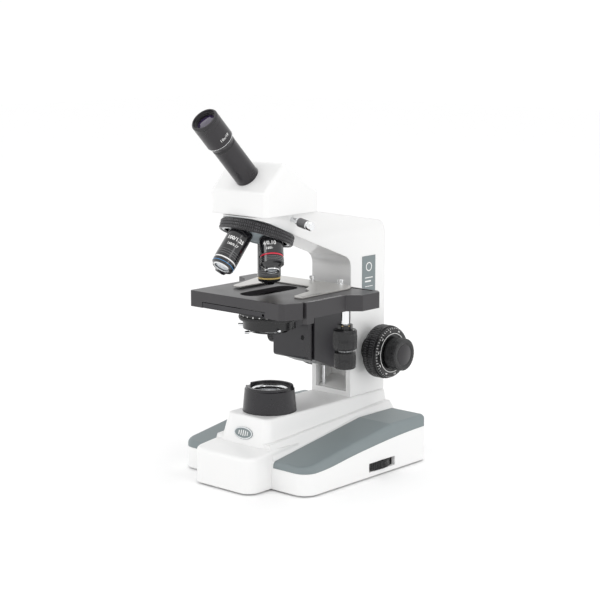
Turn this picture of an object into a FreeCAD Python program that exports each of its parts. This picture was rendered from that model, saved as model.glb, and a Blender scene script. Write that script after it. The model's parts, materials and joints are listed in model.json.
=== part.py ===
"""Monocular student microscope, built as separate pieces.

Model frame while drawing: the optical axis is X = 0, Y = 0, the table is Z = 0, +X is the user's
right, +Y points away from the user to the column and +Z is up.  Every piece is moved by
OPTICAL_AXIS_Y when it is written, so that the finished part stands on the centre of its footprint.
Lengths are millimetres and angles are degrees.
"""
import FreeCAD, Part
import math
import os

V = FreeCAD.Vector
X, Y, Z = V(1, 0, 0), V(0, 1, 0), V(0, 0, 1)

# ---------------------------------------------------------------- driving dimensions
OPTICAL_AXIS_Y = -28.5      # optical axis in front of the footprint's centre

SLIDE_FIT = 0.05            # radial clearance of a shaft or rod in its bore
GAP = 0.3                   # clearance between pieces that pass each other
SEAM = 0.15                 # clearance of one housing piece laid in another

# base
BASE_BOTTOM = 2.0
BASE_HALF_WIDTH = 90.0
WING_FRONT = -42.5
BASE_REAR = 155.5
WING_FRONT_TOP = 31.0       # wing height at its front edge
WING_REAR_TOP = 52.4
WING_CREST_Y = 95.0         # where the rising top of the wing becomes level
WING_RISE = (WING_REAR_TOP - WING_FRONT_TOP) / (WING_CREST_Y - WING_FRONT)
BASE_WALL = 5.0
LOBE_HALF_WIDTH = 41.5
LOBE_FRONT = -75.0
LOBE_FRONT_TOP = 38.0
LOBE_REAR_TOP = 42.0
PAD_THICK = 2.4
PAD_INNER_X = 44.5
SPINE_TOP = 71.0
SPINE_TOP_HALF = 29.5
SPINE_FOOT_HALF = 35.0
SPINE_FRONT_TOP_Y = -35.0
SPINE_FRONT_FOOT_Y = -43.0
SPINE_WALL = 3.5
LEDGE_HALF = 37.5
LEDGE_FRONT_TOP = 47.0
LEDGE_REAR_TOP = 59.5
COVER_THICK = 2.5
FOOT_RADIUS = 9.0
SCREW_RADIUS = 1.5
BOSS_RADIUS = 4.5
BOSS_X = BASE_HALF_WIDTH - 33
FOOT_X = BASE_HALF_WIDTH - 17
BOSS_POSITIONS = [(-BOSS_X, -24), (BOSS_X, -24), (-BOSS_X, 119), (BOSS_X, 119), (-24, -60), (24, -60)]
FOOT_POSITIONS = [(-FOOT_X, -24), (FOOT_X, -24), (-FOOT_X, 138), (FOOT_X, 138)]
SPINE_FOOT_Z = 36.0
BADGE_HALF_WIDTH = 13.0
BADGE_HALF_HEIGHT = 6.4

# column and arm
COLUMN_HALF_WIDTH = 27.7
COLUMN_FRONT = 98.9
COLUMN_REAR = 156.5
COLUMN_WALL = 4.6
ARM_TOP = 281.3
ARM_TOP_HALF_WIDTH = 33.5
ARM_FRONT = -46.0
ARM_CREST_Y = 37.0
ARM_REAR_TOP = ARM_TOP - 21.3
SLOT_HALF_WIDTH = 21.5
SLOT_BOTTOM = SPINE_TOP + 6.0
ROD_RADIUS = 2.2
ROD_X = 17.0
ROD_Y = 107.0
BUSH_RADIUS = 9.0
SCREEN_Y = 127.0            # light-coloured screen behind the slot
LOCK_LEAN = 12.0            # the screw points down a little, square to the arm's flared side
LOCK_STEM_RADIUS = 2.4
SPIGOT_DEPTH = 4.0          # head's spigot let into the arm
LOCK_Z = ARM_TOP + 2.0

# head and eyepiece
HEAD_HALF_WIDTH = 39.5
HEAD_FRONT = -46.6
HEAD_REAR = 33.6
HEAD_BOTTOM = ARM_TOP + 0.7
HEAD_FRONT_TOP = HEAD_BOTTOM + 24.4
HEAD_REAR_TOP = HEAD_BOTTOM + 22.0
HEAD_WALL = 3.0
TUBE_ANGLE = 45.0           # eyepiece tube above the horizontal
TUBE_FOOT_Y = -32.4         # where the tube's axis leaves the roof
TUBE_RADIUS = 12.6
TUBE_LENGTH = 49.0          # from the roof to the eyepiece's shoulder
EYEPIECE_RADIUS = TUBE_RADIUS + 1.8
EYEPIECE_LENGTH = 36.8
EYEPIECE_BARREL_RADIUS = TUBE_RADIUS - 1.0
EYEPIECE_BORE = EYEPIECE_BARREL_RADIUS - 1.8
HEAD_SPIGOT_RADIUS = 22.0
RIDGE_Y = -16.8

# nosepiece and objectives
NOSE_TILT = 21.1
NOSE_APEX_Z = ARM_TOP + 27.7    # where all four objective axes meet
NOSE_FACE = 43.75           # arm's sloping underside, from the apex along the nosepiece axis
NOSE_RING_RADIUS = 39.2
NOSE_RING_THICK = 10.5
NOSE_BODY_RADIUS = 36.0
SHOULDER_DISTANCE = 60.0    # objective shoulders, from the apex along each objective's axis
PARFOCAL = 45.0             # shoulder to the focused slide
THREAD_RADIUS = 10.1
OBJECTIVE_RADIUS = 12.2

# gears and racks
GEAR_MODULE = 0.8
ADDENDUM = 0.9 * GEAR_MODULE
DEDENDUM = 1.25 * GEAR_MODULE
PRESSURE_ANGLE = 20.0
BACKLASH = 0.16
RACK_WIDTH = 8.0

# stage
STAGE_BELOW_FOCUS = 5.5     # at rest, the stage is this far below the focused height
STAGE_TOP = NOSE_APEX_Z - SHOULDER_DISTANCE - PARFOCAL - STAGE_BELOW_FOCUS
STAGE_DEPTH = 16.8
STAGE_BOTTOM = STAGE_TOP - STAGE_DEPTH
STAGE_PLATE_THICK = 5.0
STAGE_WALL = 3.2
CARRIAGE_TOP = STAGE_BOTTOM - 0.5
CARRIAGE_FRONT = 40.6
CARRIAGE_HALF_WIDTH = 27.4
SLOT_TOP = CARRIAGE_TOP + 1.8
LABEL_FOOT = SLOT_TOP + 1.0
COAX_X = 71.7
COAX_Y = 38.0
COAX_SLEEVE_RADIUS = 4.2
COAX_SHAFT_RADIUS = 2.5
COAX_TEETH = 12
COAX_GEAR_WIDTH = 3.8
DRUM_RADIUS = 4.4
CABLE_THICK = 0.6
COAX_PITCH = GEAR_MODULE * COAX_TEETH / 2
STAGE_RACK_LINE = COAX_X - COAX_PITCH
COAX_GEAR_Z = STAGE_BOTTOM + 3.0
COAX_DRUM_Z = STAGE_BOTTOM + 7.9
CABLE_POSTS = [(80.0, 66.0), (-60.0, 66.0)]
CABLE_INNER = DRUM_RADIUS + 0.25
KNOB_DROP = 41.0            # stage's underside to the joint between the two stage knobs
UPPER_KNOB_HEIGHT = 21.0
LOWER_KNOB_HEIGHT = 17.8
APERTURE_HALF_LENGTH = 38.0
APERTURE_RADIUS = 13.0
X_TRAVEL = 38.0
BASE_PLATE_HALF = 58.0
CARRIAGE_BLOCK = (-10.0, 41.0)
HOLDER_LOW = STAGE_TOP + 0.4
HOLDER_THICK = 1.2
CLIP_PIVOT = (-47.0, 52.0)
HOLDER_SCREWS = (-4.7, 35.7)

# focus drive
FOCUS_Y = 131.3
FOCUS_Z = CARRIAGE_TOP - 60.9
FOCUS_TEETH = 15
SLEEVE_RADIUS = 4.6
FINE_SHAFT_RADIUS = 3.0
COARSE_RADIUS = 29.0
COARSE_INNER_X = 41.0
COARSE_OUTER_X = 61.0
FINE_RADIUS = 17.4
FINE_OUTER_X = 77.0
PITCH_RADIUS = GEAR_MODULE * FOCUS_TEETH / 2
NECK_REAR = FOCUS_Y - PITCH_RADIUS - DEDENDUM - 5.0
CARRIAGE_HEIGHT = 73.2
DIAL_THICK = 5.0            # smooth graduated rim outside each coarse knob's ribs
BUSH_FLANGE = 3.4

# condenser and lamp
CONDENSER_RADIUS = 31.8
CONDENSER_TOP = CARRIAGE_TOP - 0.6
CONDENSER_BOTTOM = CONDENSER_TOP - 20.6
CONDENSER_TEETH = 12
CONDENSER_KNOB_Z = CARRIAGE_TOP - 40.2
BRACKET_FRONT = 33.0
BRACKET_REAR = 39.5
BRACKET_HEIGHT = 51.5
RIB_X = 16.0
RIB_REAR = 44.0
CONDENSER_PITCH = GEAR_MODULE * CONDENSER_TEETH / 2
CONDENSER_RACK_LINE = BRACKET_REAR + 2.6
CONDENSER_GEAR_Y = CONDENSER_RACK_LINE + CONDENSER_PITCH
CONDENSER_SHAFT_RADIUS = 2.5
IRIS_ANGLE = -102.0
CONDENSER_KNOB_RADIUS = 9.0
CONDENSER_KNOB_LENGTH = 12.0
LAMP_FOOT_RADIUS = 28.5
LAMP_TOP_RADIUS = 26.0
LAMP_TOP = SPINE_TOP + 26.5
FIELD_LENS_RADIUS = 18.2
LAMP_NECK_RADIUS = 21.0

# light control, inlet and switch
WHEEL_RADIUS = 31.5
WHEEL_Y = 78.5
WHEEL_BOTTOM = 7.7
WHEEL_TOP = 15.9
WHEEL_PROUD = 2.0
INLET_X = -45.0
SWITCH_X = 45.0
REAR_PANEL_Z = 22.0
ROCKER_REST = 9.0

os.makedirs("parts", exist_ok=True)


# ---------------------------------------------------------------- drawing tools
def save(name, shape):
    """Move a piece into the part's frame and write it."""
    placed = shape.copy()
    placed.translate(V(0, OPTICAL_AXIS_Y, 0))
    placed.exportStep("parts/" + name + ".step")
    print(name, round(placed.Volume), "mm3", len(placed.Solids), "solids", placed.isValid())


def box(x0, x1, y0, y1, z0, z1):
    return Part.makeBox(x1 - x0, y1 - y0, z1 - z0, V(x0, y0, z0))


def rod(radius, start, direction, length):
    return Part.makeCylinder(radius, length, start, direction)


def fuse(shapes):
    return shapes[0].multiFuse(shapes[1:]).removeSplitter()


def group(solids):
    return Part.makeCompound(solids)


def rounded_wire(corners):
    """Closed flat wire through (a, b, radius) corners, each radius a tangent arc."""
    edges = []
    points = [V(a, b, 0) for a, b, r in corners]
    count = len(corners)
    stops = []
    for i in range(count):
        radius = corners[i][2]
        here = points[i]
        back = (points[i - 1] - here).normalize()
        ahead = (points[(i + 1) % count] - here).normalize()
        if radius == 0:
            stops.append((here, None, here))
            continue
        half = back.getAngle(ahead) / 2
        reach = radius / math.tan(half)
        centre = here + (back + ahead).normalize() * (radius / math.sin(half))
        middle = centre + (here - centre).normalize() * radius
        stops.append((here + back * reach, middle, here + ahead * reach))
    for i in range(count):
        start, middle, end = stops[i]
        if middle is not None:
            edges.append(Part.Arc(start, middle, end).toShape())
        following = stops[(i + 1) % count][0]
        if end.distanceToPoint(following) > 1e-6:
            edges.append(Part.LineSegment(end, following).toShape())
    return Part.Wire(edges)


def plan_prism(corners, z0, z1):
    """Outline drawn in X and Y, extruded upwards."""
    prism = Part.Face(rounded_wire(corners)).extrude(V(0, 0, z1 - z0))
    prism.translate(V(0, 0, z0))
    return prism


def side_prism(corners, x0, x1):
    """Outline drawn in Y and Z, extruded along X."""
    prism = Part.Face(rounded_wire(corners)).extrude(V(0, 0, x1 - x0))
    prism.Placement = FreeCAD.Placement(V(x0, 0, 0), FreeCAD.Rotation(Y, Z, X, "ZXY"))
    return prism


def front_prism(corners, y0, y1):
    """Outline drawn in X and Z, extruded along Y."""
    prism = Part.Face(rounded_wire(corners)).extrude(V(0, 0, y0 - y1))
    prism.Placement = FreeCAD.Placement(V(0, y0, 0), FreeCAD.Rotation(X, Z, -Y, "ZXY"))
    return prism


def lathe(profile, origin, axis):
    """Turned piece: closed (radius, distance along axis) outline swept round its axis."""
    corners = [V(r, 0, s) for r, s in profile]
    face = Part.Face(Part.makePolygon(corners + corners[:1]))
    turned = face.revolve(V(0, 0, 0), Z, 360)
    turned.Placement = FreeCAD.Placement(origin, FreeCAD.Rotation(Z, axis))
    return turned


def soften(shape, radius, wanted):
    """Fillet the edges whose box centre and direction satisfy a test."""
    edges = [e for e in shape.Edges if wanted(e)]
    return shape.makeFillet(radius, edges)


def inset_face(corners, distance):
    """Face of an outline moved inwards by a distance (outwards when negative)."""
    return Part.Face(rounded_wire(corners)).makeOffset2D(-distance, join=2)


def inset_prism(corners, distance, z0, z1):
    prism = inset_face(corners, distance).extrude(V(0, 0, z1 - z0))
    prism.translate(V(0, 0, z0))
    return prism


def ribbed_disc(radius, depth, ribs, share, length):
    """Disc along Z with square ribs round its rim; share is the rib's part of one pitch."""
    pitch = 2 * math.pi / ribs
    corners = []
    for i in range(ribs):
        start = i * pitch
        for r, angle in ((radius, start), (radius, start + pitch * share),
                         (radius - depth, start + pitch * (share + 0.08)),
                         (radius - depth, start + pitch * 0.92)):
            corners.append(V(r * math.cos(angle), r * math.sin(angle), 0))
    return Part.Face(Part.makePolygon(corners + corners[:1])).extrude(V(0, 0, length))


def involute(base_radius, radius):
    """Angle turned by an involute of a base circle at a radius."""
    if radius <= base_radius:
        return 0.0
    pressure = math.acos(base_radius / radius)
    return math.tan(pressure) - pressure


def pinion(teeth, length):
    """Involute pinion along Z with a tooth on +X, thinned by the backlash."""
    pitch_radius = GEAR_MODULE * teeth / 2
    base_radius = pitch_radius * math.cos(math.radians(PRESSURE_ANGLE))
    root = pitch_radius - DEDENDUM
    tip = pitch_radius + ADDENDUM
    half_tooth = (math.pi * GEAR_MODULE / 2 - BACKLASH) / 2 / pitch_radius
    steps = 5
    flank = []
    for i in range(steps + 1):
        r = max(root, base_radius) + (tip - max(root, base_radius)) * i / steps
        turn = half_tooth + involute(base_radius, pitch_radius) - involute(base_radius, r)
        flank.append((r, turn))
    outline = [(root, flank[0][1])] + flank if root < base_radius else flank
    corners = []
    for i in range(teeth):
        middle = 2 * math.pi * i / teeth
        for r, turn in outline:
            corners.append(V(r * math.cos(middle - turn), r * math.sin(middle - turn), 0))
        for r, turn in reversed(outline):
            corners.append(V(r * math.cos(middle + turn), r * math.sin(middle + turn), 0))
    return Part.Face(Part.makePolygon(corners + corners[:1])).extrude(V(0, 0, length))


def rack(below, above, body, width):
    """Rack along Z whose teeth point to +X, with a tooth space at Z = 0 on its pitch line X = 0."""
    pitch = math.pi * GEAR_MODULE
    slope = math.tan(math.radians(PRESSURE_ANGLE))
    tip = ADDENDUM
    root = DEDENDUM
    half = (pitch / 2 - BACKLASH) / 2
    first = -int(below / pitch)
    last = int(above / pitch)
    corners = [V(-root - body, 0, first * pitch), V(-root, 0, first * pitch)]
    for i in range(first, last):
        middle = (i + 0.5) * pitch
        corners.append(V(-root, 0, middle - half - root * slope))
        corners.append(V(tip, 0, middle - half + tip * slope))
        corners.append(V(tip, 0, middle + half - tip * slope))
        corners.append(V(-root, 0, middle + half + root * slope))
    corners.append(V(-root, 0, last * pitch))
    corners.append(V(-root - body, 0, last * pitch))
    toothed = Part.Face(Part.makePolygon(corners + corners[:1])).extrude(V(0, width, 0))
    toothed.translate(V(0, -width / 2, 0))
    return toothed


def turned_to(shape, origin, first, second):
    """Place a shape so that its X runs along first and its Z along second."""
    turn = FreeCAD.Rotation(first, second.cross(first), second, "ZXY")
    shape.Placement = FreeCAD.Placement(origin, turn).multiply(shape.Placement)
    return shape


# ---------------------------------------------------------------- base
WING_PLAN = [(-BASE_HALF_WIDTH, WING_FRONT, 16), (BASE_HALF_WIDTH, WING_FRONT, 16),
             (BASE_HALF_WIDTH, BASE_REAR, 7), (-BASE_HALF_WIDTH, BASE_REAR, 7)]
LOBE_PLAN = [(-LOBE_HALF_WIDTH, LOBE_FRONT, 13), (LOBE_HALF_WIDTH, LOBE_FRONT, 13),
             (LOBE_HALF_WIDTH, 0, 0), (-LOBE_HALF_WIDTH, 0, 0)]


def wing_profile(drop):
    """Side view of the wings with the top lowered by a distance."""
    before = WING_FRONT - 20
    after = BASE_REAR + 20
    return [(before, BASE_BOTTOM, 0), (after, BASE_BOTTOM, 0), (after, WING_REAR_TOP - drop, 0),
            (WING_CREST_Y, WING_REAR_TOP - drop, 0), (before, WING_FRONT_TOP - 20 * WING_RISE - drop, 0)]


def wing_block(inset, drop):
    plan = inset_prism(WING_PLAN, inset, BASE_BOTTOM, 100)
    return plan.common(side_prism(wing_profile(drop), -200, 200))


def is_top_of_wing(edge):
    box_ = edge.BoundBox
    flat = box_.XLength + box_.YLength > 2
    steep = abs(box_.Center.y - WING_CREST_Y) < 0.5 and box_.XLength > 100
    return flat and box_.ZMin > WING_FRONT_TOP - 5 and not steep


def pad_zone():
    """Everything above the pads' lower edge, which rises in an S along the sides."""
    lower = [(WING_FRONT - 20, 24.0), (WING_FRONT, 24.6), (-10, 25.6), (20, 29.5), (60, 34.0),
             (104, 37.8), (BASE_REAR, 39.8), (BASE_REAR + 20, 40.0)]
    curve = Part.BSplineCurve()
    curve.interpolate([V(0, y, z) for y, z in lower])
    start = V(0, lower[0][0], lower[0][1])
    end = V(0, lower[-1][0], lower[-1][1])
    over_end = V(0, lower[-1][0], 120)
    over_start = V(0, lower[0][0], 120)
    outline = [curve.toShape(), Part.LineSegment(end, over_end).toShape(),
               Part.LineSegment(over_end, over_start).toShape(),
               Part.LineSegment(over_start, start).toShape()]
    zone = Part.Face(Part.Wire(outline)).extrude(V(400, 0, 0))
    zone.translate(V(-200, 0, 0))
    return zone


def spine_step():
    """Lower tier of the centre: walls lean in from the pads up to a ledge."""
    sections = []
    for y, low, high in ((WING_FRONT + 2, WING_FRONT_TOP, LEDGE_FRONT_TOP),
                         (BASE_REAR, WING_REAR_TOP, LEDGE_REAR_TOP)):
        corners = [(-PAD_INNER_X + SEAM, BASE_BOTTOM), (-PAD_INNER_X + SEAM, low - 2), (-LEDGE_HALF, high),
                   (LEDGE_HALF, high), (PAD_INNER_X - SEAM, low - 2), (PAD_INNER_X - SEAM, BASE_BOTTOM)]
        points = [V(x, y, z) for x, z in corners]
        sections.append(Part.makePolygon(points + points[:1]))
    return Part.makeLoft(sections, True, True)


def spine_block():
    """Upper tier of the centre: the pedestal under the lamp, running back to the column."""
    sections = []
    for z, half, front, corner in ((SPINE_FOOT_Z, SPINE_FOOT_HALF + 1, SPINE_FRONT_FOOT_Y - 1.4, 11),
                                   (SPINE_TOP, SPINE_TOP_HALF, SPINE_FRONT_TOP_Y, 8)):
        plan = [(-half, front, corner), (half, front, corner), (half, BASE_REAR, 0), (-half, BASE_REAR, 0)]
        wire = rounded_wire(plan)
        wire.translate(V(0, 0, z))
        sections.append(wire)
    block = Part.makeLoft(sections, True, True)
    return soften(block, 3.0,
                  lambda e: e.BoundBox.ZMin > SPINE_TOP - 0.1 and e.BoundBox.YMin < BASE_REAR - 1)


def lobe_block():
    profile = [(LOBE_FRONT - 5, BASE_BOTTOM, 0), (0, BASE_BOTTOM, 0), (0, LOBE_REAR_TOP, 0),
               (SPINE_FRONT_FOOT_Y, LOBE_REAR_TOP, 0), (LOBE_FRONT - 5, LOBE_FRONT_TOP, 0)]
    block = plan_prism(LOBE_PLAN, BASE_BOTTOM, 80).common(side_prism(profile, -100, 100))
    top = soften(block, 4.5, lambda e: e.BoundBox.ZMin > LOBE_FRONT_TOP - 1 and e.BoundBox.YMax < -0.5
                 and (e.BoundBox.XLength < 30 or e.BoundBox.YMax < -60))
    return top


def base_cavity():
    inner = wing_block(BASE_WALL, PAD_THICK + 3.2)
    lobe = inset_prism(LOBE_PLAN[:2] + [(LOBE_HALF_WIDTH, 12, 0), (-LOBE_HALF_WIDTH, 12, 0)],
                       BASE_WALL, BASE_BOTTOM, LOBE_FRONT_TOP - 5)
    spine = box(-SPINE_TOP_HALF + SPINE_WALL + 1, SPINE_TOP_HALF - SPINE_WALL - 1,
                SPINE_FRONT_TOP_Y + SPINE_WALL + 2, BASE_REAR - BASE_WALL, BASE_BOTTOM,
                SPINE_TOP - SPINE_WALL)
    return fuse([inner, lobe, spine])


def make_base():
    zone = pad_zone()
    wings = wing_block(0, 0)
    wings = soften(wings, 5.0, is_top_of_wing)
    core = wing_block(PAD_THICK, PAD_THICK)
    sides = fuse([box(PAD_INNER_X - SEAM, 200, -200, 300, 0, 200),
                  box(-200, -PAD_INNER_X + SEAM, -200, 300, 0, 200)])
    lower = wings.cut(zone.common(sides))
    body = fuse([lower, core, lobe_block(), spine_step(), spine_block()])
    cavity = base_cavity()
    for x, y in BOSS_POSITIONS:
        cavity = cavity.cut(rod(BOSS_RADIUS, V(x, y, BASE_BOTTOM + COVER_THICK), Z, 100))
    body = body.cut(cavity)
    for x, y in BOSS_POSITIONS:
        body = body.cut(rod(SCREW_RADIUS + 0.02, V(x, y, 0), Z, 16))
    body = body.cut(rod(LAMP_NECK_RADIUS + SEAM, V(0, 0, 40), Z, 60))
    body = body.cut(box(BASE_HALF_WIDTH - 12, BASE_HALF_WIDTH + 5, 57, 100, WHEEL_BOTTOM - 0.8,
                        WHEEL_TOP + 0.7))
    body = body.cut(box(INLET_X - 14, INLET_X + 14, BASE_REAR - 12, BASE_REAR + 5, REAR_PANEL_Z - 10.5,
                        REAR_PANEL_Z + 10.5))
    body = body.cut(box(SWITCH_X - 9.5, SWITCH_X + 9.5, BASE_REAR - 12, BASE_REAR + 5, REAR_PANEL_Z - 6.5,
                        REAR_PANEL_Z + 6.5))
    save("base_housing", body)

    shell = wings.common(zone).cut(core)
    right = shell.common(box(PAD_INNER_X, 200, -200, 300, 0, 200))
    left = shell.common(box(-200, -PAD_INNER_X, -200, 300, 0, 200))
    save("side_pad_right", right)
    save("side_pad_left", left)


def make_cover():
    inset = BASE_WALL + 0.2
    wings = inset_prism(WING_PLAN, inset, BASE_BOTTOM, BASE_BOTTOM + COVER_THICK)
    lobe = inset_prism(LOBE_PLAN[:2] + [(LOBE_HALF_WIDTH, 12, 0), (-LOBE_HALF_WIDTH, 12, 0)], inset,
                       BASE_BOTTOM, BASE_BOTTOM + COVER_THICK)
    cover = fuse([wings, lobe])
    screws = []
    for x, y in BOSS_POSITIONS:
        cover = cover.cut(rod(SCREW_RADIUS + 0.2, V(x, y, 0), Z, 10))
        cover = cover.cut(rod(3.2, V(x, y, BASE_BOTTOM - 1), Z, 2.2))
        head = rod(3.0, V(x, y, BASE_BOTTOM), Z, 1.2)
        shank = rod(SCREW_RADIUS, V(x, y, BASE_BOTTOM + 1.0), Z, 11)
        screws.append(fuse([head, shank]))
    save("base_cover", cover)
    save("base_screws", group(screws))
    feet = []
    for x, y in FOOT_POSITIONS:
        foot = lathe([(0, 0), (FOOT_RADIUS - 1, 0), (FOOT_RADIUS, 1.0), (FOOT_RADIUS, BASE_BOTTOM),
                      (0, BASE_BOTTOM)],
                     V(x, y, 0), Z)
        feet.append(foot)
    save("rubber_feet", group(feet))


def make_power():
    top = BASE_BOTTOM + COVER_THICK
    board = box(-76, -16, 30, 112, top + 4, top + 5.6)
    pillars = [rod(3, V(x, y, top), Z, 4) for x in (-71, -21) for y in (35, 107)]
    transformer = box(-70, -44, 40, 66, top + 5.6, top + 24)
    capacitor = rod(6, V(-30, 52, top + 5.6), Z, 16)
    sink = box(-34, -24, 72, 100, top + 5.6, top + 18)
    chips = [box(-66 + 14 * i, -58 + 14 * i, 84, 94, top + 5.6, top + 8) for i in range(2)]
    save("power_board", fuse([board, transformer, capacitor, sink] + pillars + chips))

    rear = BASE_REAR
    flange = box(INLET_X - 16, INLET_X + 16, rear, rear + 1.8, REAR_PANEL_Z - 12.5, REAR_PANEL_Z + 12.5)
    shell = box(INLET_X - 14 + SEAM, INLET_X + 14 - SEAM, rear - 20, rear, REAR_PANEL_Z - 10.5 + SEAM,
                REAR_PANEL_Z + 10.5 - SEAM)
    socket = front_prism([(INLET_X - 12.2, REAR_PANEL_Z - 8.2, 1.5),
                          (INLET_X + 12.2, REAR_PANEL_Z - 8.2, 1.5),
                          (INLET_X + 12.2, REAR_PANEL_Z + 3.5, 1), (INLET_X + 7.5, REAR_PANEL_Z + 8.2, 1),
                          (INLET_X - 7.5, REAR_PANEL_Z + 8.2, 1), (INLET_X - 12.2, REAR_PANEL_Z + 3.5, 1)],
                         rear - 16, rear + 5)
    inlet = fuse([flange, shell]).cut(socket)
    pins = []
    for x, z in ((-7, -4), (7, -4), (0, -0.5)):
        pins.append(box(INLET_X + x - 1, INLET_X + x + 1, rear - 16.5, rear - 3, REAR_PANEL_Z + z - 2,
                        REAR_PANEL_Z + z + 2))
    save("power_inlet", fuse([inlet] + pins))

    bezel = box(SWITCH_X - 11.5, SWITCH_X + 11.5, rear, rear + 1.6, REAR_PANEL_Z - 8.5, REAR_PANEL_Z + 8.5)
    sleeve = box(SWITCH_X - 9.5 + SEAM, SWITCH_X + 9.5 - SEAM, rear - 12, rear, REAR_PANEL_Z - 6.5 + SEAM,
                 REAR_PANEL_Z + 6.5 - SEAM)
    opening = box(SWITCH_X - 7.6, SWITCH_X + 7.6, rear - 10, rear + 5, REAR_PANEL_Z - 5, REAR_PANEL_Z + 5)
    axle_seat = rod(1.0 + SLIDE_FIT, V(SWITCH_X, rear - 5, REAR_PANEL_Z - 5.9), Z, 11.8)
    save("switch_frame", fuse([bezel, sleeve]).cut(opening).cut(axle_seat))
    blade = plan_prism([(-6.9, -2.5, 0.5), (6.9, -2.5, 0.5), (6.9, 4.6, 0.6), (0, 3.2, 6),
                        (-6.9, 4.6, 0.6)],
                       -4.6, 4.6)
    axle = rod(1.0, V(0, 0, -5.6), Z, 11.2)
    rocker = fuse([blade, axle])
    rocker.rotate(V(0, 0, 0), Z, ROCKER_REST)
    rocker.translate(V(SWITCH_X, rear - 5, REAR_PANEL_Z))
    save("power_rocker", rocker)


def make_lamp():
    foot, top = SPINE_TOP, LAMP_TOP
    neck = LAMP_NECK_RADIUS
    wall = lathe([(14.5, foot - 9), (neck, foot - 9), (neck, foot), (LAMP_FOOT_RADIUS - 1, foot),
                  (LAMP_FOOT_RADIUS, foot + 1), (LAMP_FOOT_RADIUS - 0.2, foot + 3.2),
                  (LAMP_TOP_RADIUS + 0.4, top - 3.2), (LAMP_TOP_RADIUS - 0.6, top - 2.2),
                  (LAMP_TOP_RADIUS - 0.9, top), (LAMP_TOP_RADIUS - 3.6, top),
                  (LAMP_TOP_RADIUS - 3.8, top - 2.6),
                  (21.2, top - 2.6), (20.8, top - 4.2), (FIELD_LENS_RADIUS + SEAM, top - 4.2),
                  (FIELD_LENS_RADIUS + SEAM, top - 10), (14.5, top - 10)], V(0, 0, 0), Z)
    for middle in (22, 202):
        notch = box(20.6, 40, -6.5, 6.5, top - 2.6, top + 5)
        notch.rotate(V(0, 0, 0), Z, middle)
        wall = wall.cut(notch)
    save("lamp_housing", wall)
    lens = lathe([(0, top - 10), (FIELD_LENS_RADIUS, top - 10), (FIELD_LENS_RADIUS, top - 7.5),
                  (FIELD_LENS_RADIUS - 3, top - 6.2), (FIELD_LENS_RADIUS - 9, top - 5.2), (0, top - 4.8)],
                 V(0, 0, 0), Z)
    save("field_lens", lens)
    plate = rod(neck - 1, V(0, 0, foot - 12), Z, 3)
    emitter = lathe([(0, 0), (5, 0), (5, 1.4), (3.2, 3.2), (0, 3.8)], V(0, 0, foot - 9), Z)
    fins = [box(-16, 16, -14.5 + 4.4 * i, -12.5 + 4.4 * i, foot - 26, foot - 12) for i in range(7)]
    post = rod(8, V(0, 0, BASE_BOTTOM + COVER_THICK), Z, foot - 26 - BASE_BOTTOM - COVER_THICK)
    plinth = box(-16, 16, -14.5, 14.5, foot - 28, foot - 26)
    save("lamp_module", fuse([plate, emitter, plinth, post] + fins))


def make_dimmer():
    hub_x = BASE_HALF_WIDTH + WHEEL_PROUD - WHEEL_RADIUS
    spindle = 3.0
    disc = ribbed_disc(WHEEL_RADIUS, 0.7, 90, 0.5, WHEEL_TOP - WHEEL_BOTTOM)
    disc = disc.cut(rod(WHEEL_RADIUS - 8, V(0, 0, 3), Z, 20)).fuse(rod(9, V(0, 0, 0), Z,
                                                                       WHEEL_TOP - WHEEL_BOTTOM))
    disc = disc.cut(rod(spindle + SLIDE_FIT, V(0, 0, -1), Z, 30))
    disc.translate(V(hub_x, WHEEL_Y, WHEEL_BOTTOM))
    save("intensity_wheel", disc)
    top = BASE_BOTTOM + COVER_THICK
    pot = fuse([rod(11, V(hub_x, WHEEL_Y, top), Z, WHEEL_BOTTOM - top - GAP),
                rod(spindle, V(hub_x, WHEEL_Y, top), Z, WHEEL_TOP + 1 - top)])
    save("dimmer_pot", pot)


def make_badge():
    """Plain oval plate let into the pedestal's sloping front."""
    run = SPINE_TOP - SPINE_FOOT_Z
    lean = math.degrees(math.atan2(SPINE_FRONT_TOP_Y - SPINE_FRONT_FOOT_Y + 1.4, run))
    half_way = V(0, (SPINE_FRONT_TOP_Y + SPINE_FRONT_FOOT_Y - 1.4) / 2, (SPINE_TOP + SPINE_FOOT_Z) / 2)
    oval = Part.Ellipse(V(0, 0, 0), BADGE_HALF_WIDTH, BADGE_HALF_HEIGHT).toShape()
    plate = Part.Face(Part.Wire([oval])).extrude(V(0, 0, 1.0))
    normal = V(0, -math.cos(math.radians(lean)), math.sin(math.radians(lean)))
    along = V(1, 0, 0)
    plate.Placement = FreeCAD.Placement(half_way, FreeCAD.Rotation(along, normal.cross(along), normal,
                                                                   "ZXY"))
    save("front_badge", plate)


# ---------------------------------------------------------------- column and arm
NOSE_SIN = math.sin(math.radians(NOSE_TILT))
NOSE_COS = math.cos(math.radians(NOSE_TILT))
NOSE_AXIS = V(0, -NOSE_SIN, -NOSE_COS)
NOSE_APEX = V(0, 0, NOSE_APEX_Z)
NOSE_BACK = V(0, NOSE_COS, -NOSE_SIN)


def underside_z(y):
    """Height of the arm's sloping underside at a depth."""
    return NOSE_APEX_Z - NOSE_FACE / NOSE_COS - y * NOSE_SIN / NOSE_COS


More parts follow.
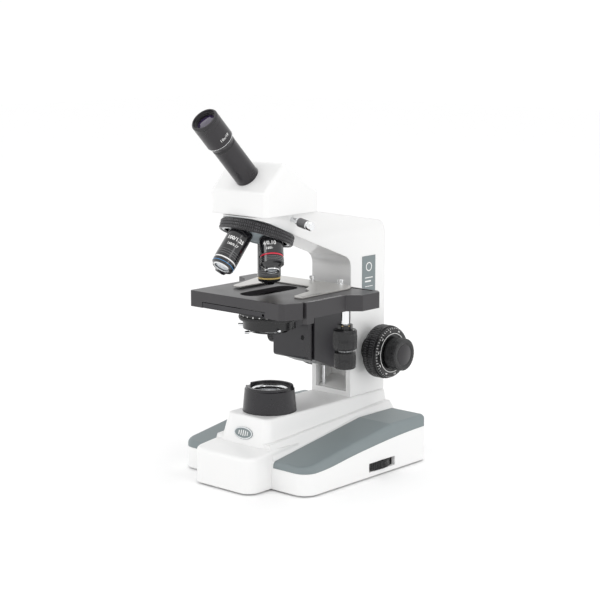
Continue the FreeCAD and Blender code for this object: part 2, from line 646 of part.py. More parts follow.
def make_column():
    profile = [(ARM_FRONT, ARM_TOP, 0), (ARM_FRONT, underside_z(ARM_FRONT), 0),
               (COLUMN_FRONT, underside_z(COLUMN_FRONT), 14), (COLUMN_FRONT, SPINE_TOP, 0),
               (COLUMN_REAR, SPINE_TOP, 0), (COLUMN_REAR, ARM_REAR_TOP, 17), (ARM_CREST_Y, ARM_TOP, 40)]
    side = side_prism(profile, -60, 60)
    half, top_half = COLUMN_HALF_WIDTH, ARM_TOP_HALF_WIDTH
    section = [(-half, 0, 0), (half, 0, 0), (half, ARM_TOP - 28, 30), (top_half, ARM_TOP, 0),
               (top_half, ARM_TOP + 20, 0), (-top_half, ARM_TOP + 20, 0), (-top_half, ARM_TOP, 0),
               (-half, ARM_TOP - 28, 30)]
    front = front_prism(section, -100, 300)
    plan = plan_prism([(-top_half - 1, ARM_FRONT, 22), (top_half + 1, ARM_FRONT, 22),
                       (top_half + 1, COLUMN_REAR, 4), (-top_half - 1, COLUMN_REAR, 4)], 0, 400)
    body = side.common(front).common(plan)
    inner_half = COLUMN_HALF_WIDTH - COLUMN_WALL
    join = SLOT_TOP + 25
    cavity = box(-inner_half, inner_half, COLUMN_FRONT + COLUMN_WALL, COLUMN_REAR - COLUMN_WALL, 0, join)
    hollow_front = HEAD_SPIGOT_RADIUS + 10
    inner_front = COLUMN_FRONT + COLUMN_WALL
    inner_rear = COLUMN_REAR - COLUMN_WALL
    hollow = side_prism([(hollow_front, underside_z(hollow_front) + 6, 0),
                         (inner_front, underside_z(inner_front) + 6, 0),
                         (inner_front, join - 9, 0), (inner_rear, join - 9, 0),
                         (inner_rear, ARM_REAR_TOP - 7, 11),
                         (ARM_CREST_Y, ARM_TOP - 6, 0), (hollow_front, ARM_TOP - 6, 0)], -inner_half,
                         inner_half)
    slot = box(-SLOT_HALF_WIDTH, SLOT_HALF_WIDTH, COLUMN_FRONT - 10, COLUMN_FRONT + 10, SLOT_BOTTOM,
               SLOT_TOP)
    light = rod(10, V(0, 0, ARM_TOP - 80), Z, 100)
    seat = rod(HEAD_SPIGOT_RADIUS + SEAM, V(0, 0, ARM_TOP - SPIGOT_DEPTH), Z, 20)
    bush = rod(BUSH_RADIUS, V(-60, FOCUS_Y, FOCUS_Z), X, 120)
    screw_path = rod(LOCK_STEM_RADIUS + SLIDE_FIT, V(0, 0, LOCK_Z), LOCK_AXIS, 60)
    body = body.cut(fuse([cavity, slot, hollow])).cut(light).cut(seat).cut(bush).cut(screw_path)
    save("column_arm", body)

    low = [box(-inner_half, inner_half, COLUMN_FRONT + COLUMN_WALL, SCREEN_Y + 1.6, SPINE_TOP,
               SLOT_BOTTOM - 1),
           box(-inner_half, inner_half, SCREEN_Y, SCREEN_Y + 1.6, SPINE_TOP, FOCUS_Z - 9)]
    high = [box(-inner_half, inner_half, COLUMN_FRONT + COLUMN_WALL, ROD_Y + 5, SLOT_TOP + 1, SLOT_TOP + 9)]
    rods = [rod(ROD_RADIUS, V(x, ROD_Y, SLOT_BOTTOM - 3), Z,
                SLOT_TOP - SLOT_BOTTOM + 8) for x in (-ROD_X, ROD_X)]
    save("guide_rods", fuse(low + high + rods))

    bushes = []
    for side_sign in (1, -1):
        bushes.append(lathe([(SLEEVE_RADIUS + SLIDE_FIT, COLUMN_HALF_WIDTH - COLUMN_WALL),
                             (BUSH_RADIUS, COLUMN_HALF_WIDTH - COLUMN_WALL),
                             (BUSH_RADIUS, COLUMN_HALF_WIDTH),
                             (14, COLUMN_HALF_WIDTH), (14, COLUMN_HALF_WIDTH + 2.6),
                             (12.8, COLUMN_HALF_WIDTH + BUSH_FLANGE),
                             (SLEEVE_RADIUS + SLIDE_FIT, COLUMN_HALF_WIDTH + BUSH_FLANGE)],
                            V(0, FOCUS_Y, FOCUS_Z), X * side_sign))
    save("focus_bushings", group(bushes))

    labels = []
    for side_sign in (1, -1):
        face = COLUMN_HALF_WIDTH * side_sign
        outer = face + 0.5 * side_sign
        labels.append(box(min(face, outer), max(face, outer), 118, 140, LABEL_FOOT, LABEL_FOOT + 40))
    save("side_labels", group(labels))


LOCK_AXIS = V(math.cos(math.radians(LOCK_LEAN)), 0, -math.sin(math.radians(LOCK_LEAN)))


def make_lock():
    """Knurled thumb screw that holds the head's spigot."""
    start = HEAD_SPIGOT_RADIUS + 1.2
    origin = V(0, 0, LOCK_Z)
    profile = [(0, start), (LOCK_STEM_RADIUS - 0.6, start), (LOCK_STEM_RADIUS, start + 0.8),
               (LOCK_STEM_RADIUS, 39), (3.4, 39.4), (3.4, 40.6), (2.9, 41), (4.3, 42.5), (4.3, 54.4),
               (3.7, 55), (3.7, 55.8), (4.3, 56.4), (4.3, 60.4), (3.6, 61.4), (0, 61.4)]
    save("head_lock_screw", lathe(profile, origin, LOCK_AXIS))


# ---------------------------------------------------------------- head and eyepiece
TUBE_AXIS = V(0, -math.cos(math.radians(TUBE_ANGLE)), math.sin(math.radians(TUBE_ANGLE)))


def head_profile(inset):
    roof_z = HEAD_FRONT_TOP + (RIDGE_Y - HEAD_FRONT)
    return [(HEAD_FRONT + inset, HEAD_BOTTOM + inset, 0), (HEAD_REAR - inset, HEAD_BOTTOM + inset, 0),
            (HEAD_REAR - inset, HEAD_REAR_TOP - inset * 0.6, 5),
            (RIDGE_Y + inset * 0.2, roof_z - inset * 1.3, 5),
            (HEAD_FRONT + inset, HEAD_FRONT_TOP - inset * 0.4, 5)]


ROOF_FOOT = V(0, TUBE_FOOT_Y, HEAD_FRONT_TOP + TUBE_FOOT_Y - HEAD_FRONT)


def make_head():
    half = HEAD_HALF_WIDTH
    outer = side_prism(head_profile(0), -half, half)
    outer = soften(outer, 5.0,
                   lambda e: abs(e.BoundBox.XLength) < 0.01 and e.BoundBox.ZMax > HEAD_BOTTOM + 1)
    inner = side_prism(head_profile(HEAD_WALL), -half + HEAD_WALL, half - HEAD_WALL)
    spigot = rod(HEAD_SPIGOT_RADIUS, V(0, 0, ARM_TOP - SPIGOT_DEPTH + 0.4), Z,
                 HEAD_BOTTOM - ARM_TOP + SPIGOT_DEPTH + 1)
    body = fuse([outer.cut(inner), spigot])
    body = body.cut(rod(TUBE_RADIUS, ROOF_FOOT - TUBE_AXIS * 20, TUBE_AXIS, 40))
    body = body.cut(rod(13, V(0, 0, HEAD_BOTTOM - 30), Z, 34))
    save("head_housing", body)
    prism = side_prism([(-11, HEAD_BOTTOM + HEAD_WALL, 0), (16, HEAD_BOTTOM + HEAD_WALL, 0),
                        (16, HEAD_BOTTOM + 14, 0), (2, HEAD_BOTTOM + 28, 0),
                        (-11, HEAD_BOTTOM + 15, 0)], -15, 15)
    save("head_prism", prism)

    bore = EYEPIECE_BARREL_RADIUS + SLIDE_FIT
    tube = lathe([(bore - 1.6, -8), (TUBE_RADIUS, -8), (TUBE_RADIUS, TUBE_LENGTH), (bore, TUBE_LENGTH),
                  (bore, TUBE_LENGTH - 30), (bore - 1.6, TUBE_LENGTH - 30)], ROOF_FOOT, TUBE_AXIS)
    save("eyepiece_tube", tube)

    top = EYEPIECE_LENGTH
    shoulder = ROOF_FOOT + TUBE_AXIS * TUBE_LENGTH
    r = EYEPIECE_RADIUS
    bore = EYEPIECE_BORE
    eyepiece = lathe([(bore, -26), (EYEPIECE_BARREL_RADIUS, -26), (EYEPIECE_BARREL_RADIUS, GAP),
                      (TUBE_RADIUS, GAP), (TUBE_RADIUS + 0.1, 2.0), (r - 0.3, 5.4), (r, 6.2),
                      (r, top - 1.4),
                      (r - 1.0, top), (r - 2.2, top), (r - 3.2, top - 3.4), (bore, top - 3.4)],
                     shoulder, TUBE_AXIS)
    save("eyepiece_barrel", eyepiece)
    lens = lathe([(0, top - 9), (bore, top - 8), (bore, top - 5.2), (bore - 3.3, top - 4.1),
                  (0, top - 3.6)],
                 shoulder, TUBE_AXIS)
    save("eye_lens", lens)


# ---------------------------------------------------------------- nosepiece and objectives
def objective_direction(turn):
    """Axis of an objective, turned from the working position about the nosepiece's axis."""
    angle = math.radians(turn)
    across = NOSE_BACK * math.cos(angle) + X * math.sin(angle)
    return NOSE_AXIS * NOSE_COS + across * NOSE_SIN


def make_nosepiece():
    washer = 1.3
    plate = lathe([(0, NOSE_FACE), (31, NOSE_FACE), (31, NOSE_FACE + washer), (6, NOSE_FACE + washer),
                   (6, NOSE_FACE + 13), (0, NOSE_FACE + 13)], NOSE_APEX, NOSE_AXIS)
    plate = plate.cut(rod(8, V(0, 0, ARM_TOP - 80), Z, 100))
    save("nosepiece_base", plate)

    start = NOSE_FACE + washer + 0.4
    edge = NOSE_FACE + 6.6
    cone = 1.0 / NOSE_COS * SHOULDER_DISTANCE
    slope = NOSE_SIN / NOSE_COS
    r = NOSE_BODY_RADIUS
    profile = [(6 + SLIDE_FIT, start), (r, start), (r, cone - r * slope), (9.5, cone - 9.5 * slope),
               (6 + SLIDE_FIT, cone - 7.5 * slope)]
    turret = lathe(profile, NOSE_APEX, NOSE_AXIS)
    for turn in (0, 90, 180, 270):
        axis = objective_direction(turn)
        turret = turret.cut(rod(THREAD_RADIUS, NOSE_APEX + axis * (SHOULDER_DISTANCE - 5), axis, 12))
        turret = turret.cut(rod(8, NOSE_APEX + axis * (SHOULDER_DISTANCE - 20), axis, 30))
    save("nosepiece_turret", turret)

    ring_start = start + 0.1
    grip = lathe([(r, ring_start), (NOSE_RING_RADIUS - 0.8, ring_start),
                  (NOSE_RING_RADIUS, ring_start + 0.8),
                  (NOSE_RING_RADIUS, ring_start + NOSE_RING_THICK - 0.8),
                  (NOSE_RING_RADIUS - 0.8, ring_start + NOSE_RING_THICK),
                  (r + 0.4, ring_start + NOSE_RING_THICK),
                  (r, ring_start + NOSE_RING_THICK - 1)], NOSE_APEX, NOSE_AXIS)
    save("nosepiece_grip", grip)


OBJECTIVES = {
    # name: turn, outline after the shoulder as (radius, distance), lens radius, lens depth
    "objective_10x": (0, [(12.2, 34.6), (11.4, 35.2), (11.4, 37.0), (12.0, 37.4), (11.4, 39.6), (7.6, 41.2),
                          (6.0, 41.6), (5.2, 43.0)], 3.2),
    "objective_4x": (90, [(12.2, 18.2), (11.5, 18.8), (11.5, 20.4), (12.2, 21.0), (12.2, 27.6),
                          (10.4, 29.0),
                          (8.0, 31.6), (7.2, 34.4)], 5.4),
    "objective_100x": (180, [(12.2, 36.0), (11.5, 36.6), (11.5, 38.2), (12.1, 38.8), (11.6, 42.6),
                             (9.4, 44.0)],
                       7.4),
    "objective_40x": (270, [(12.2, 35.0), (11.5, 35.6), (11.5, 37.2), (12.1, 37.8), (10.6, 40.6),
                            (6.6, 42.6),
                            (5.6, 44.2)], 2.6),
}


def make_objectives():
    lenses = []
    for name, (turn, outline, glass) in OBJECTIVES.items():
        axis = objective_direction(turn)
        shoulder = NOSE_APEX + axis * SHOULDER_DISTANCE
        tip = outline[-1][1]
        profile = [(6.5, -4.6), (THREAD_RADIUS - SLIDE_FIT, -4.6), (THREAD_RADIUS - SLIDE_FIT, 0),
                   (11.6, 0),
                   (OBJECTIVE_RADIUS, 0.6)] + outline + [(glass, tip), (glass, tip - 3), (6.5, tip - 9)]
        save(name, lathe(profile, shoulder, axis))
        lenses.append(lathe([(0, tip - 2.6), (glass, tip - 2.6), (glass, tip - 0.8), (0, tip - 0.5)],
                            shoulder, axis))
    save("objective_lenses", group(lenses))


# ---------------------------------------------------------------- focus drive
def make_focus():
    length = 2 * COARSE_OUTER_X - 4
    centre = V(0, FOCUS_Y, FOCUS_Z)
    sleeve = rod(SLEEVE_RADIUS, centre - X * (length / 2), X, length)
    gear = turned_to(pinion(FOCUS_TEETH, RACK_WIDTH), centre - X * (RACK_WIDTH / 2), -Y, X)
    sleeve = fuse([sleeve, gear]).cut(rod(FINE_SHAFT_RADIUS + SLIDE_FIT, centre - X * 80, X, 160))
    save("coarse_sleeve", sleeve)
    save("fine_shaft", rod(FINE_SHAFT_RADIUS, centre - X * (FINE_OUTER_X - 3), X, 2 * FINE_OUTER_X - 6))

    for side_sign, side_name in ((1, "right"), (-1, "left")):
        axis = X * side_sign
        inner, outer = COARSE_INNER_X, COARSE_OUTER_X
        ribs = ribbed_disc(COARSE_RADIUS, 1.0, 60, 0.52, outer - inner - DIAL_THICK)
        ribs.Placement = FreeCAD.Placement(centre + axis * inner, FreeCAD.Rotation(Z, axis))
        shape = lathe([(0, inner), (COARSE_RADIUS - 1.4, inner), (COARSE_RADIUS, inner + 1.2),
                       (COARSE_RADIUS, outer - DIAL_THICK - 0.6),
                       (COARSE_RADIUS - 0.6, outer - DIAL_THICK), (0, outer - DIAL_THICK)],
                      centre, axis)
        dial = lathe([(0, outer - DIAL_THICK), (COARSE_RADIUS - 1.2, outer - DIAL_THICK),
                      (COARSE_RADIUS - 1.2, outer - 2.4),
                      (COARSE_RADIUS - 2.6, outer - 0.6), (19.6, outer), (19.6, outer - 0.8),
                      (0, outer - 0.8)],
                     centre, axis)
        hub = rod(12, centre + axis * (COLUMN_HALF_WIDTH + BUSH_FLANGE + GAP), axis,
                  inner - COLUMN_HALF_WIDTH - BUSH_FLANGE - GAP)
        parts = [ribs.common(shape), dial]
        if side_sign > 0:
            parts.append(hub)
        else:
            parts.append(rod(8, centre + axis * (inner - 0.6), axis, 1))
        knob = fuse(parts)
        knob = knob.cut(rod(SLEEVE_RADIUS, centre + axis * 20, axis, outer - 2 - 20))
        knob = knob.cut(rod(FINE_SHAFT_RADIUS + 0.4, centre + axis * 20, axis, 60))
        save("coarse_knob_" + side_name, knob)

        start = outer + GAP
        grip = ribbed_disc(FINE_RADIUS, 0.5, 64, 0.5, FINE_OUTER_X - start - 1.5)
        grip.Placement = FreeCAD.Placement(centre + axis * (start + 1.0), FreeCAD.Rotation(Z, axis))
        cap = lathe([(0, start), (FINE_RADIUS - 1.2, start), (FINE_RADIUS - 1.2, start + 1.2),
                     (0, start + 1.2)],
                    centre, axis)
        face = lathe([(0, FINE_OUTER_X - 1.4), (FINE_RADIUS - 0.3, FINE_OUTER_X - 1.4),
                      (FINE_RADIUS - 1.6, FINE_OUTER_X), (FINE_RADIUS - 4.4, FINE_OUTER_X),
                      (FINE_RADIUS - 5.0, FINE_OUTER_X - 0.7), (FINE_RADIUS - 5.8, FINE_OUTER_X - 0.7),
                      (FINE_RADIUS - 6.4, FINE_OUTER_X), (0, FINE_OUTER_X)], centre, axis)
        fine = fuse([cap, grip, face])
        fine = fine.cut(rod(FINE_SHAFT_RADIUS, centre, axis, FINE_OUTER_X - 3))
        save("fine_knob_" + side_name, fine)

    ring_inner = COLUMN_HALF_WIDTH + BUSH_FLANGE + GAP
    ring = ribbed_disc(18.5, 0.8, 40, 0.5, COARSE_INNER_X - 0.6 - GAP - ring_inner)
    ring.Placement = FreeCAD.Placement(centre - X * ring_inner, FreeCAD.Rotation(Z, -X))
    ring = ring.cut(rod(SLEEVE_RADIUS + 0.15, centre, -X, 60))
    save("tension_ring", ring)


def make_carriage():
    half = CARRIAGE_HALF_WIDTH
    rear = COLUMN_FRONT - 0.7
    top = CARRIAGE_TOP
    foot = top - CARRIAGE_HEIGHT
    profile = [(CARRIAGE_FRONT, top, 0), (CARRIAGE_FRONT, foot + 14, 2), (72, foot + 1, 6), (rear, foot, 0),
               (rear, top, 0)]
    block = side_prism(profile, -half, half)
    neck = box(-SLOT_HALF_WIDTH + 0.6, SLOT_HALF_WIDTH - 0.6, rear - 1, NECK_REAR, foot + 4, top - 6)
    body = fuse([block, neck])
    for x in (-ROD_X, ROD_X):
        body = body.cut(rod(ROD_RADIUS + SLIDE_FIT, V(x, ROD_Y, 0), Z, 300))
    body = body.cut(box(-RACK_WIDTH / 2 - 1.2, RACK_WIDTH / 2 + 1.2, CARRIAGE_FRONT - 5,
                        CONDENSER_GEAR_Y + CONDENSER_PITCH + 2.2, foot - 50, top - 7))
    for side_sign in (-1, 1):
        groove = box(RIB_X - 2 - GAP, RIB_X + 2 + GAP, CARRIAGE_FRONT - 5, RIB_REAR + GAP, foot - 50,
                     top - 3)
        if side_sign < 0:
            groove = groove.mirror(V(0, 0, 0), X)
        body = body.cut(groove)
    shaft = rod(CONDENSER_SHAFT_RADIUS + SLIDE_FIT, V(-60, CONDENSER_GEAR_Y, CONDENSER_KNOB_Z), X, 72)
    body = body.cut(shaft)
    save("focus_carriage", body)

    bar = rack(30, 30, 5.0, RACK_WIDTH)
    bar = turned_to(bar, V(0, FOCUS_Y - PITCH_RADIUS, FOCUS_Z), Y, Z)
    bar = bar.common(box(-10, 10, 0, 300, FOCUS_Z - 8, FOCUS_Z + 29))
    save("focus_rack", bar)


def make_condenser():
    high = CARRIAGE_TOP - 9.2
    foot = high - BRACKET_HEIGHT
    plate = side_prism([(BRACKET_FRONT, high, 2), (BRACKET_FRONT, foot + 2.5, 4), (BRACKET_REAR, foot, 0),
                        (BRACKET_REAR, high, 0)], -25, 25)
    ribs = [box(x - 2, x + 2, BRACKET_REAR - 0.5, RIB_REAR, foot + 1.5, high - 4) for x in (-RIB_X, RIB_X)]
    arm = box(-22, 22, 8, BRACKET_FRONT + 1, CONDENSER_BOTTOM + 1, CONDENSER_BOTTOM + 9)
    hold = rod(CONDENSER_RADIUS - 4, V(0, 0, CONDENSER_BOTTOM + 1), Z, 8)
    bar = turned_to(rack(24, 24, 2.0, RACK_WIDTH), V(0, CONDENSER_RACK_LINE, CONDENSER_KNOB_Z), Y, Z)
    bar = bar.common(box(-10, 10, BRACKET_REAR - 0.6, 60, foot + 3.5, high - 4))
    body = fuse([plate, arm.cut(hold)] + ribs).fuse(bar)
    body = body.cut(rod(CONDENSER_RADIUS, V(0, 0, CONDENSER_BOTTOM + 9), Z, 40))
    body = body.cut(rod(2.4, V(17, BRACKET_FRONT - 2, foot + 25.5), Y, 5))
    save("condenser_bracket", body.removeSplitter())

    r, low, top = CONDENSER_RADIUS, CONDENSER_BOTTOM, CONDENSER_TOP
    barrel = lathe([(9, low - 4), (r - 12, low - 4), (r - 9, low - 1), (r - 7, low), (r - 4, low),
                    (r - 4, low + 9),
                    (r - 0.4, low + 9), (r, low + 10), (r, low + 13.4), (r - 1.2, low + 13.9),
                    (r - 1.2, low + 15.3),
                    (r, low + 15.8), (r, top - 1), (r - 1, top), (20, top), (16, top + 7.4),
                    (13.5, top + 9.4),
                    (9, top + 9.4)], V(0, 0, 0), Z)
    lever_slot = lathe([(12, low - 3.2), (40, low - 3.2), (40, low - 1.4), (12, low - 1.4)], V(0, 0, 0), Z)
    save("condenser_body", barrel.cut(lever_slot))
    lens = lathe([(0, top + 4), (9, top + 4), (9, top + 9.0), (5, top + 9.9), (0, top + 10.2)],
                 V(0, 0, 0), Z)
    save("condenser_lens", lens)

    lever = lathe([(12.3, low - 3.0), (17, low - 3.0), (17, low - 1.6), (12.3, low - 1.6)], V(0, 0, 0), Z)
    bearing = math.radians(IRIS_ANGLE)
    outward = V(math.cos(bearing), math.sin(bearing), 0)
    arm_piece = rod(0.6, outward * 15 + Z * (low - 2.3), outward, 12)
    tip = rod(1.6, outward * 26 + Z * (low - 2.3), outward, 5.5)
    save("iris_lever", fuse([lever, arm_piece, tip]))

    knob_start = V(-CARRIAGE_HALF_WIDTH - GAP, CONDENSER_GEAR_Y, CONDENSER_KNOB_Z)
    r, length = CONDENSER_KNOB_RADIUS, CONDENSER_KNOB_LENGTH
    grip = ribbed_disc(r, 0.7, 30, 0.5, length)
    grip.Placement = FreeCAD.Placement(knob_start, FreeCAD.Rotation(Z, -X))
    rim = lathe([(0, 0), (r - 0.6, 0), (r, 0.6), (r, length - 1), (r - 1, length), (0, length)],
                knob_start, -X)
    shaft = rod(CONDENSER_SHAFT_RADIUS, knob_start - X * 6, X, 6 + CARRIAGE_HALF_WIDTH + GAP + length - 1)
    gear = turned_to(pinion(CONDENSER_TEETH, RACK_WIDTH),
                     V(-RACK_WIDTH / 2, CONDENSER_GEAR_Y, CONDENSER_KNOB_Z), -Y, X)
    save("condenser_knob", fuse([grip.common(rim), shaft, gear]))


# ---------------------------------------------------------------- stage
# outline of the stage's top, clockwise from its front left corner, with the corner radii
STAGE_PLAN = [(-65.5, -52, 3), (61.5, -52, 3), (66.5, -48.5, 4), (74.5, -30.5, 0), (72.6, -30.5, 0),
              (72.6, -28, 0), (77.5, -28, 0), (77.5, 33, 0), (89.8, 44.5, 2), (89.8, 72, 3), (84, 77.5, 3),
              (-84, 77.5, 3), (-89.8, 72, 3), (-89.8, 47, 2), (-74, 40, 4), (-65.5, 31, 4)]


def make_stage_base():
    low = CARRIAGE_TOP
    high = STAGE_BOTTOM + 5.7
    plate = box(-BASE_PLATE_HALF, BASE_PLATE_HALF, -33, 58.5, low, high)
    tongue = box(-46.5, 41.8, -51.6, -32, STAGE_BOTTOM + 0.2, high)
    rails = [box(x - 3, x + 3, -33, 19, high - 0.4, STAGE_TOP - STAGE_PLATE_THICK - 0.1) for x in (-50, 50)]
    body = fuse([plate, tongue] + rails)
    body = body.cut(rod(24, V(0, 0, low - 10), Z, 60))
    body = body.cut(rod(1.6, V(39.6, -60, STAGE_BOTTOM + 2.7), Y, 14))
    save("stage_base", body)
    length = 42.0
    bar = rack(length / 2, length / 2, STAGE_RACK_LINE - DEDENDUM - BASE_PLATE_HALF, 3.8)
    bar = turned_to(bar, V(STAGE_RACK_LINE, COAX_Y, COAX_GEAR_Z + 1.9), X, Y)
    save("stage_rack", bar)


def make_stage_plate():
    top, low = STAGE_TOP, STAGE_BOTTOM
    outer = plan_prism(STAGE_PLAN, low, top)
    outer = soften(outer, 0.8, lambda e: e.BoundBox.ZMin > top - 0.01)
    pocket = inset_prism(STAGE_PLAN, STAGE_WALL, low - 5, top - STAGE_PLATE_THICK)
    body = outer.cut(pocket)
    bracket = inset_prism(STAGE_PLAN, STAGE_WALL - 0.5, low, low + 2.5)
    bracket = bracket.common(box(STAGE_RACK_LINE + 1.2, 95, 24, 54, low - 1, low + 3))
    lug = box(72.6, 77.5, -28, -17, low - 5.2, low + 1)
    posts = [rod(DRUM_RADIUS, V(x, y, top - STAGE_PLATE_THICK - 4.5), Z, 5.5) for x, y in CABLE_POSTS]
    body = fuse([body, bracket, lug] + posts)
    slit = box(-APERTURE_RADIUS, APERTURE_RADIUS, -APERTURE_HALF_LENGTH + APERTURE_RADIUS,
               APERTURE_HALF_LENGTH - APERTURE_RADIUS, low + 3, top + 10)
    ends = [rod(APERTURE_RADIUS, V(0, y, low + 3), Z, STAGE_DEPTH)
            for y in (-APERTURE_HALF_LENGTH + APERTURE_RADIUS, APERTURE_HALF_LENGTH - APERTURE_RADIUS)]
    body = body.cut(fuse([slit] + ends))
    body = body.cut(box(-47, 42.3, -60, -48, low - 5, low + 6.5))
    body = body.cut(box(CARRIAGE_BLOCK[0] - X_TRAVEL - 1, CARRIAGE_BLOCK[1] + X_TRAVEL + 1, 70.6, 74.1,
                        low + 8, top + 10))
    body = body.cut(rod(COAX_SLEEVE_RADIUS + SLIDE_FIT, V(COAX_X, COAX_Y, low - 10), Z, 20))
    relief = rod(COAX_PITCH + 1.1, V(COAX_X, COAX_Y, COAX_GEAR_Z - 0.4), Z,
                 STAGE_TOP - STAGE_PLATE_THICK - COAX_GEAR_Z + 0.4)
    body = body.cut(relief)
    save("stage_plate", body)

    corners = [V(COAX_X, COAX_Y, 0)] + [V(x, y, 0) for x, y in CABLE_POSTS]
    loop = Part.Face(Part.makePolygon(corners + corners[:1]))
    outer_loop = loop.makeOffset2D(CABLE_INNER + CABLE_THICK)
    inner_loop = loop.makeOffset2D(CABLE_INNER)
    belt = outer_loop.extrude(V(0, 0, 1.6)).cut(inner_loop.extrude(V(0, 0, 1.6)))
    belt.translate(V(0, 0, COAX_DRUM_Z + 0.9))
    save("drive_cable", belt)


def make_coax():
    axis_point = V(COAX_X, COAX_Y, 0)
    joint = STAGE_BOTTOM - KNOB_DROP
    upper_top = joint + UPPER_KNOB_HEIGHT
    lower_top = joint - 2.4
    lower_bottom = lower_top - LOWER_KNOB_HEIGHT
    sleeve_foot = joint + 2
    sleeve = rod(COAX_SLEEVE_RADIUS, axis_point + Z * sleeve_foot, Z, COAX_GEAR_Z - sleeve_foot)
    gear = pinion(COAX_TEETH, COAX_GEAR_WIDTH)
    gear = turned_to(gear, axis_point + Z * COAX_GEAR_Z, -X, Z)
    sleeve = fuse([sleeve, gear]).cut(rod(COAX_SHAFT_RADIUS + SLIDE_FIT, axis_point, Z, STAGE_TOP))
    save("y_drive_sleeve", sleeve)

    def knob(radius, low, high):
        """Plain drum with a finely ribbed rim."""
        grip = ribbed_disc(radius, 0.35, 60, 0.5, high - low)
        grip.translate(axis_point + Z * low)
        rim = lathe([(0, low), (radius - 1.0, low), (radius, low + 1.0), (radius, high - 1.2),
                     (radius - 1.2, high),
                     (0, high)], axis_point, Z)
        return grip.common(rim)

    collar = ribbed_disc(8.0, 1.4, 6, 0.6, 5.4)
    collar.translate(axis_point + Z * (upper_top - 0.2))
    upper = fuse([knob(12.4, joint, upper_top), collar])
    upper = upper.cut(rod(COAX_SLEEVE_RADIUS, axis_point + Z * sleeve_foot, Z, UPPER_KNOB_HEIGHT + 20))
    upper = upper.cut(rod(COAX_SHAFT_RADIUS + SLIDE_FIT, axis_point + Z * (joint - 5), Z, 40))
    save("y_drive_knob", upper)

    shaft_foot = lower_bottom + 3.4
    shaft = rod(COAX_SHAFT_RADIUS, axis_point + Z * shaft_foot, Z, COAX_DRUM_Z + 3.4 - shaft_foot)
    drum = rod(DRUM_RADIUS, axis_point + Z * COAX_DRUM_Z, Z, 3.4)
    save("x_drive_shaft", fuse([shaft, drum]))
    lower = fuse([knob(11.2, lower_bottom, lower_top), rod(6.0, axis_point + Z * (lower_top - 0.4), Z,
                                                           2.4)])
    lower = lower.cut(rod(COAX_SHAFT_RADIUS, axis_point + Z * shaft_foot, Z, LOWER_KNOB_HEIGHT + 10))
    save("x_drive_knob", lower)


def make_holder():
    low, high = HOLDER_LOW, HOLDER_LOW + HOLDER_THICK
    plan = [(-57, 74.5, 3), (-57, 43, 4), (18, 43, 1), (27, 27, 2), (38, 21, 4), (45.5, -11, 3),
            (50, -16, 2), (59, -15, 3), (57.5, 62, 2), (50, 74.5, 2)]
    plate = plan_prism(plan, low, high)
    pivot = rod(2.2, V(CLIP_PIVOT[0], CLIP_PIVOT[1], high - 0.2), Z, 2.6)
    plate = fuse([plate, pivot])
    screws = []
    for x in HOLDER_SCREWS:
        plate = plate.cut(rod(1.7, V(x, 72.3, low - 1), Z, 5))
        head = lathe([(0, high), (3.0, high), (3.0, high + 1.2), (2.2, high + 1.4), (2.2, high + 2.2),
                      (3.0, high + 2.4), (3.0, high + 5.2), (2.6, high + 5.6), (0, high + 5.6)],
                      V(x, 72.3, 0), Z)
        screws.append(fuse([head, rod(1.2, V(x, 72.3, low - 3.5), Z, 5)]))
    save("slide_holder", plate)
    save("holder_screws", group(screws))

    left, right = CARRIAGE_BLOCK
    block = box(left, right, 70.8, 73.8, STAGE_TOP - STAGE_PLATE_THICK + 0.3, low)
    clamp = box(10, 22, 71.6, 73.8, COAX_DRUM_Z, STAGE_TOP - STAGE_PLATE_THICK + 0.6)
    block = fuse([block, clamp])
    for x in HOLDER_SCREWS:
        block = block.cut(rod(1.2, V(x, 72.3, low - 4), Z, 6))
    save("holder_carriage", block)

    finger = plan_prism([(-58, 60, 3), (-58, 42, 8), (-41.5, -11, 2), (-37, -14.5, 1.5), (-29.5, -13, 2),
                         (-30, 26, 30), (-38, 60, 4)], high + 0.15, high + 1.25)
    finger = finger.cut(rod(2.2 + SLIDE_FIT, V(CLIP_PIVOT[0], CLIP_PIVOT[1], high - 2), Z, 10))
    tab = box(-57, -52, 56, 66, high + 0.15, high + 1.25)
    save("slide_clip", fuse([finger, tab]))


def main():
    make_base()
    make_cover()
    make_power()
    make_lamp()
    make_dimmer()
    make_badge()
    make_column()
    make_lock()
    make_head()
    make_nosepiece()
    make_objectives()
    make_focus()
    make_carriage()
    make_condenser()
    make_stage_base()
    make_stage_plate()
    make_coax()
    make_holder()


main()
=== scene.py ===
"""Looks of the monocular microscope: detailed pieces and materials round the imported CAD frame."""
import json
import math

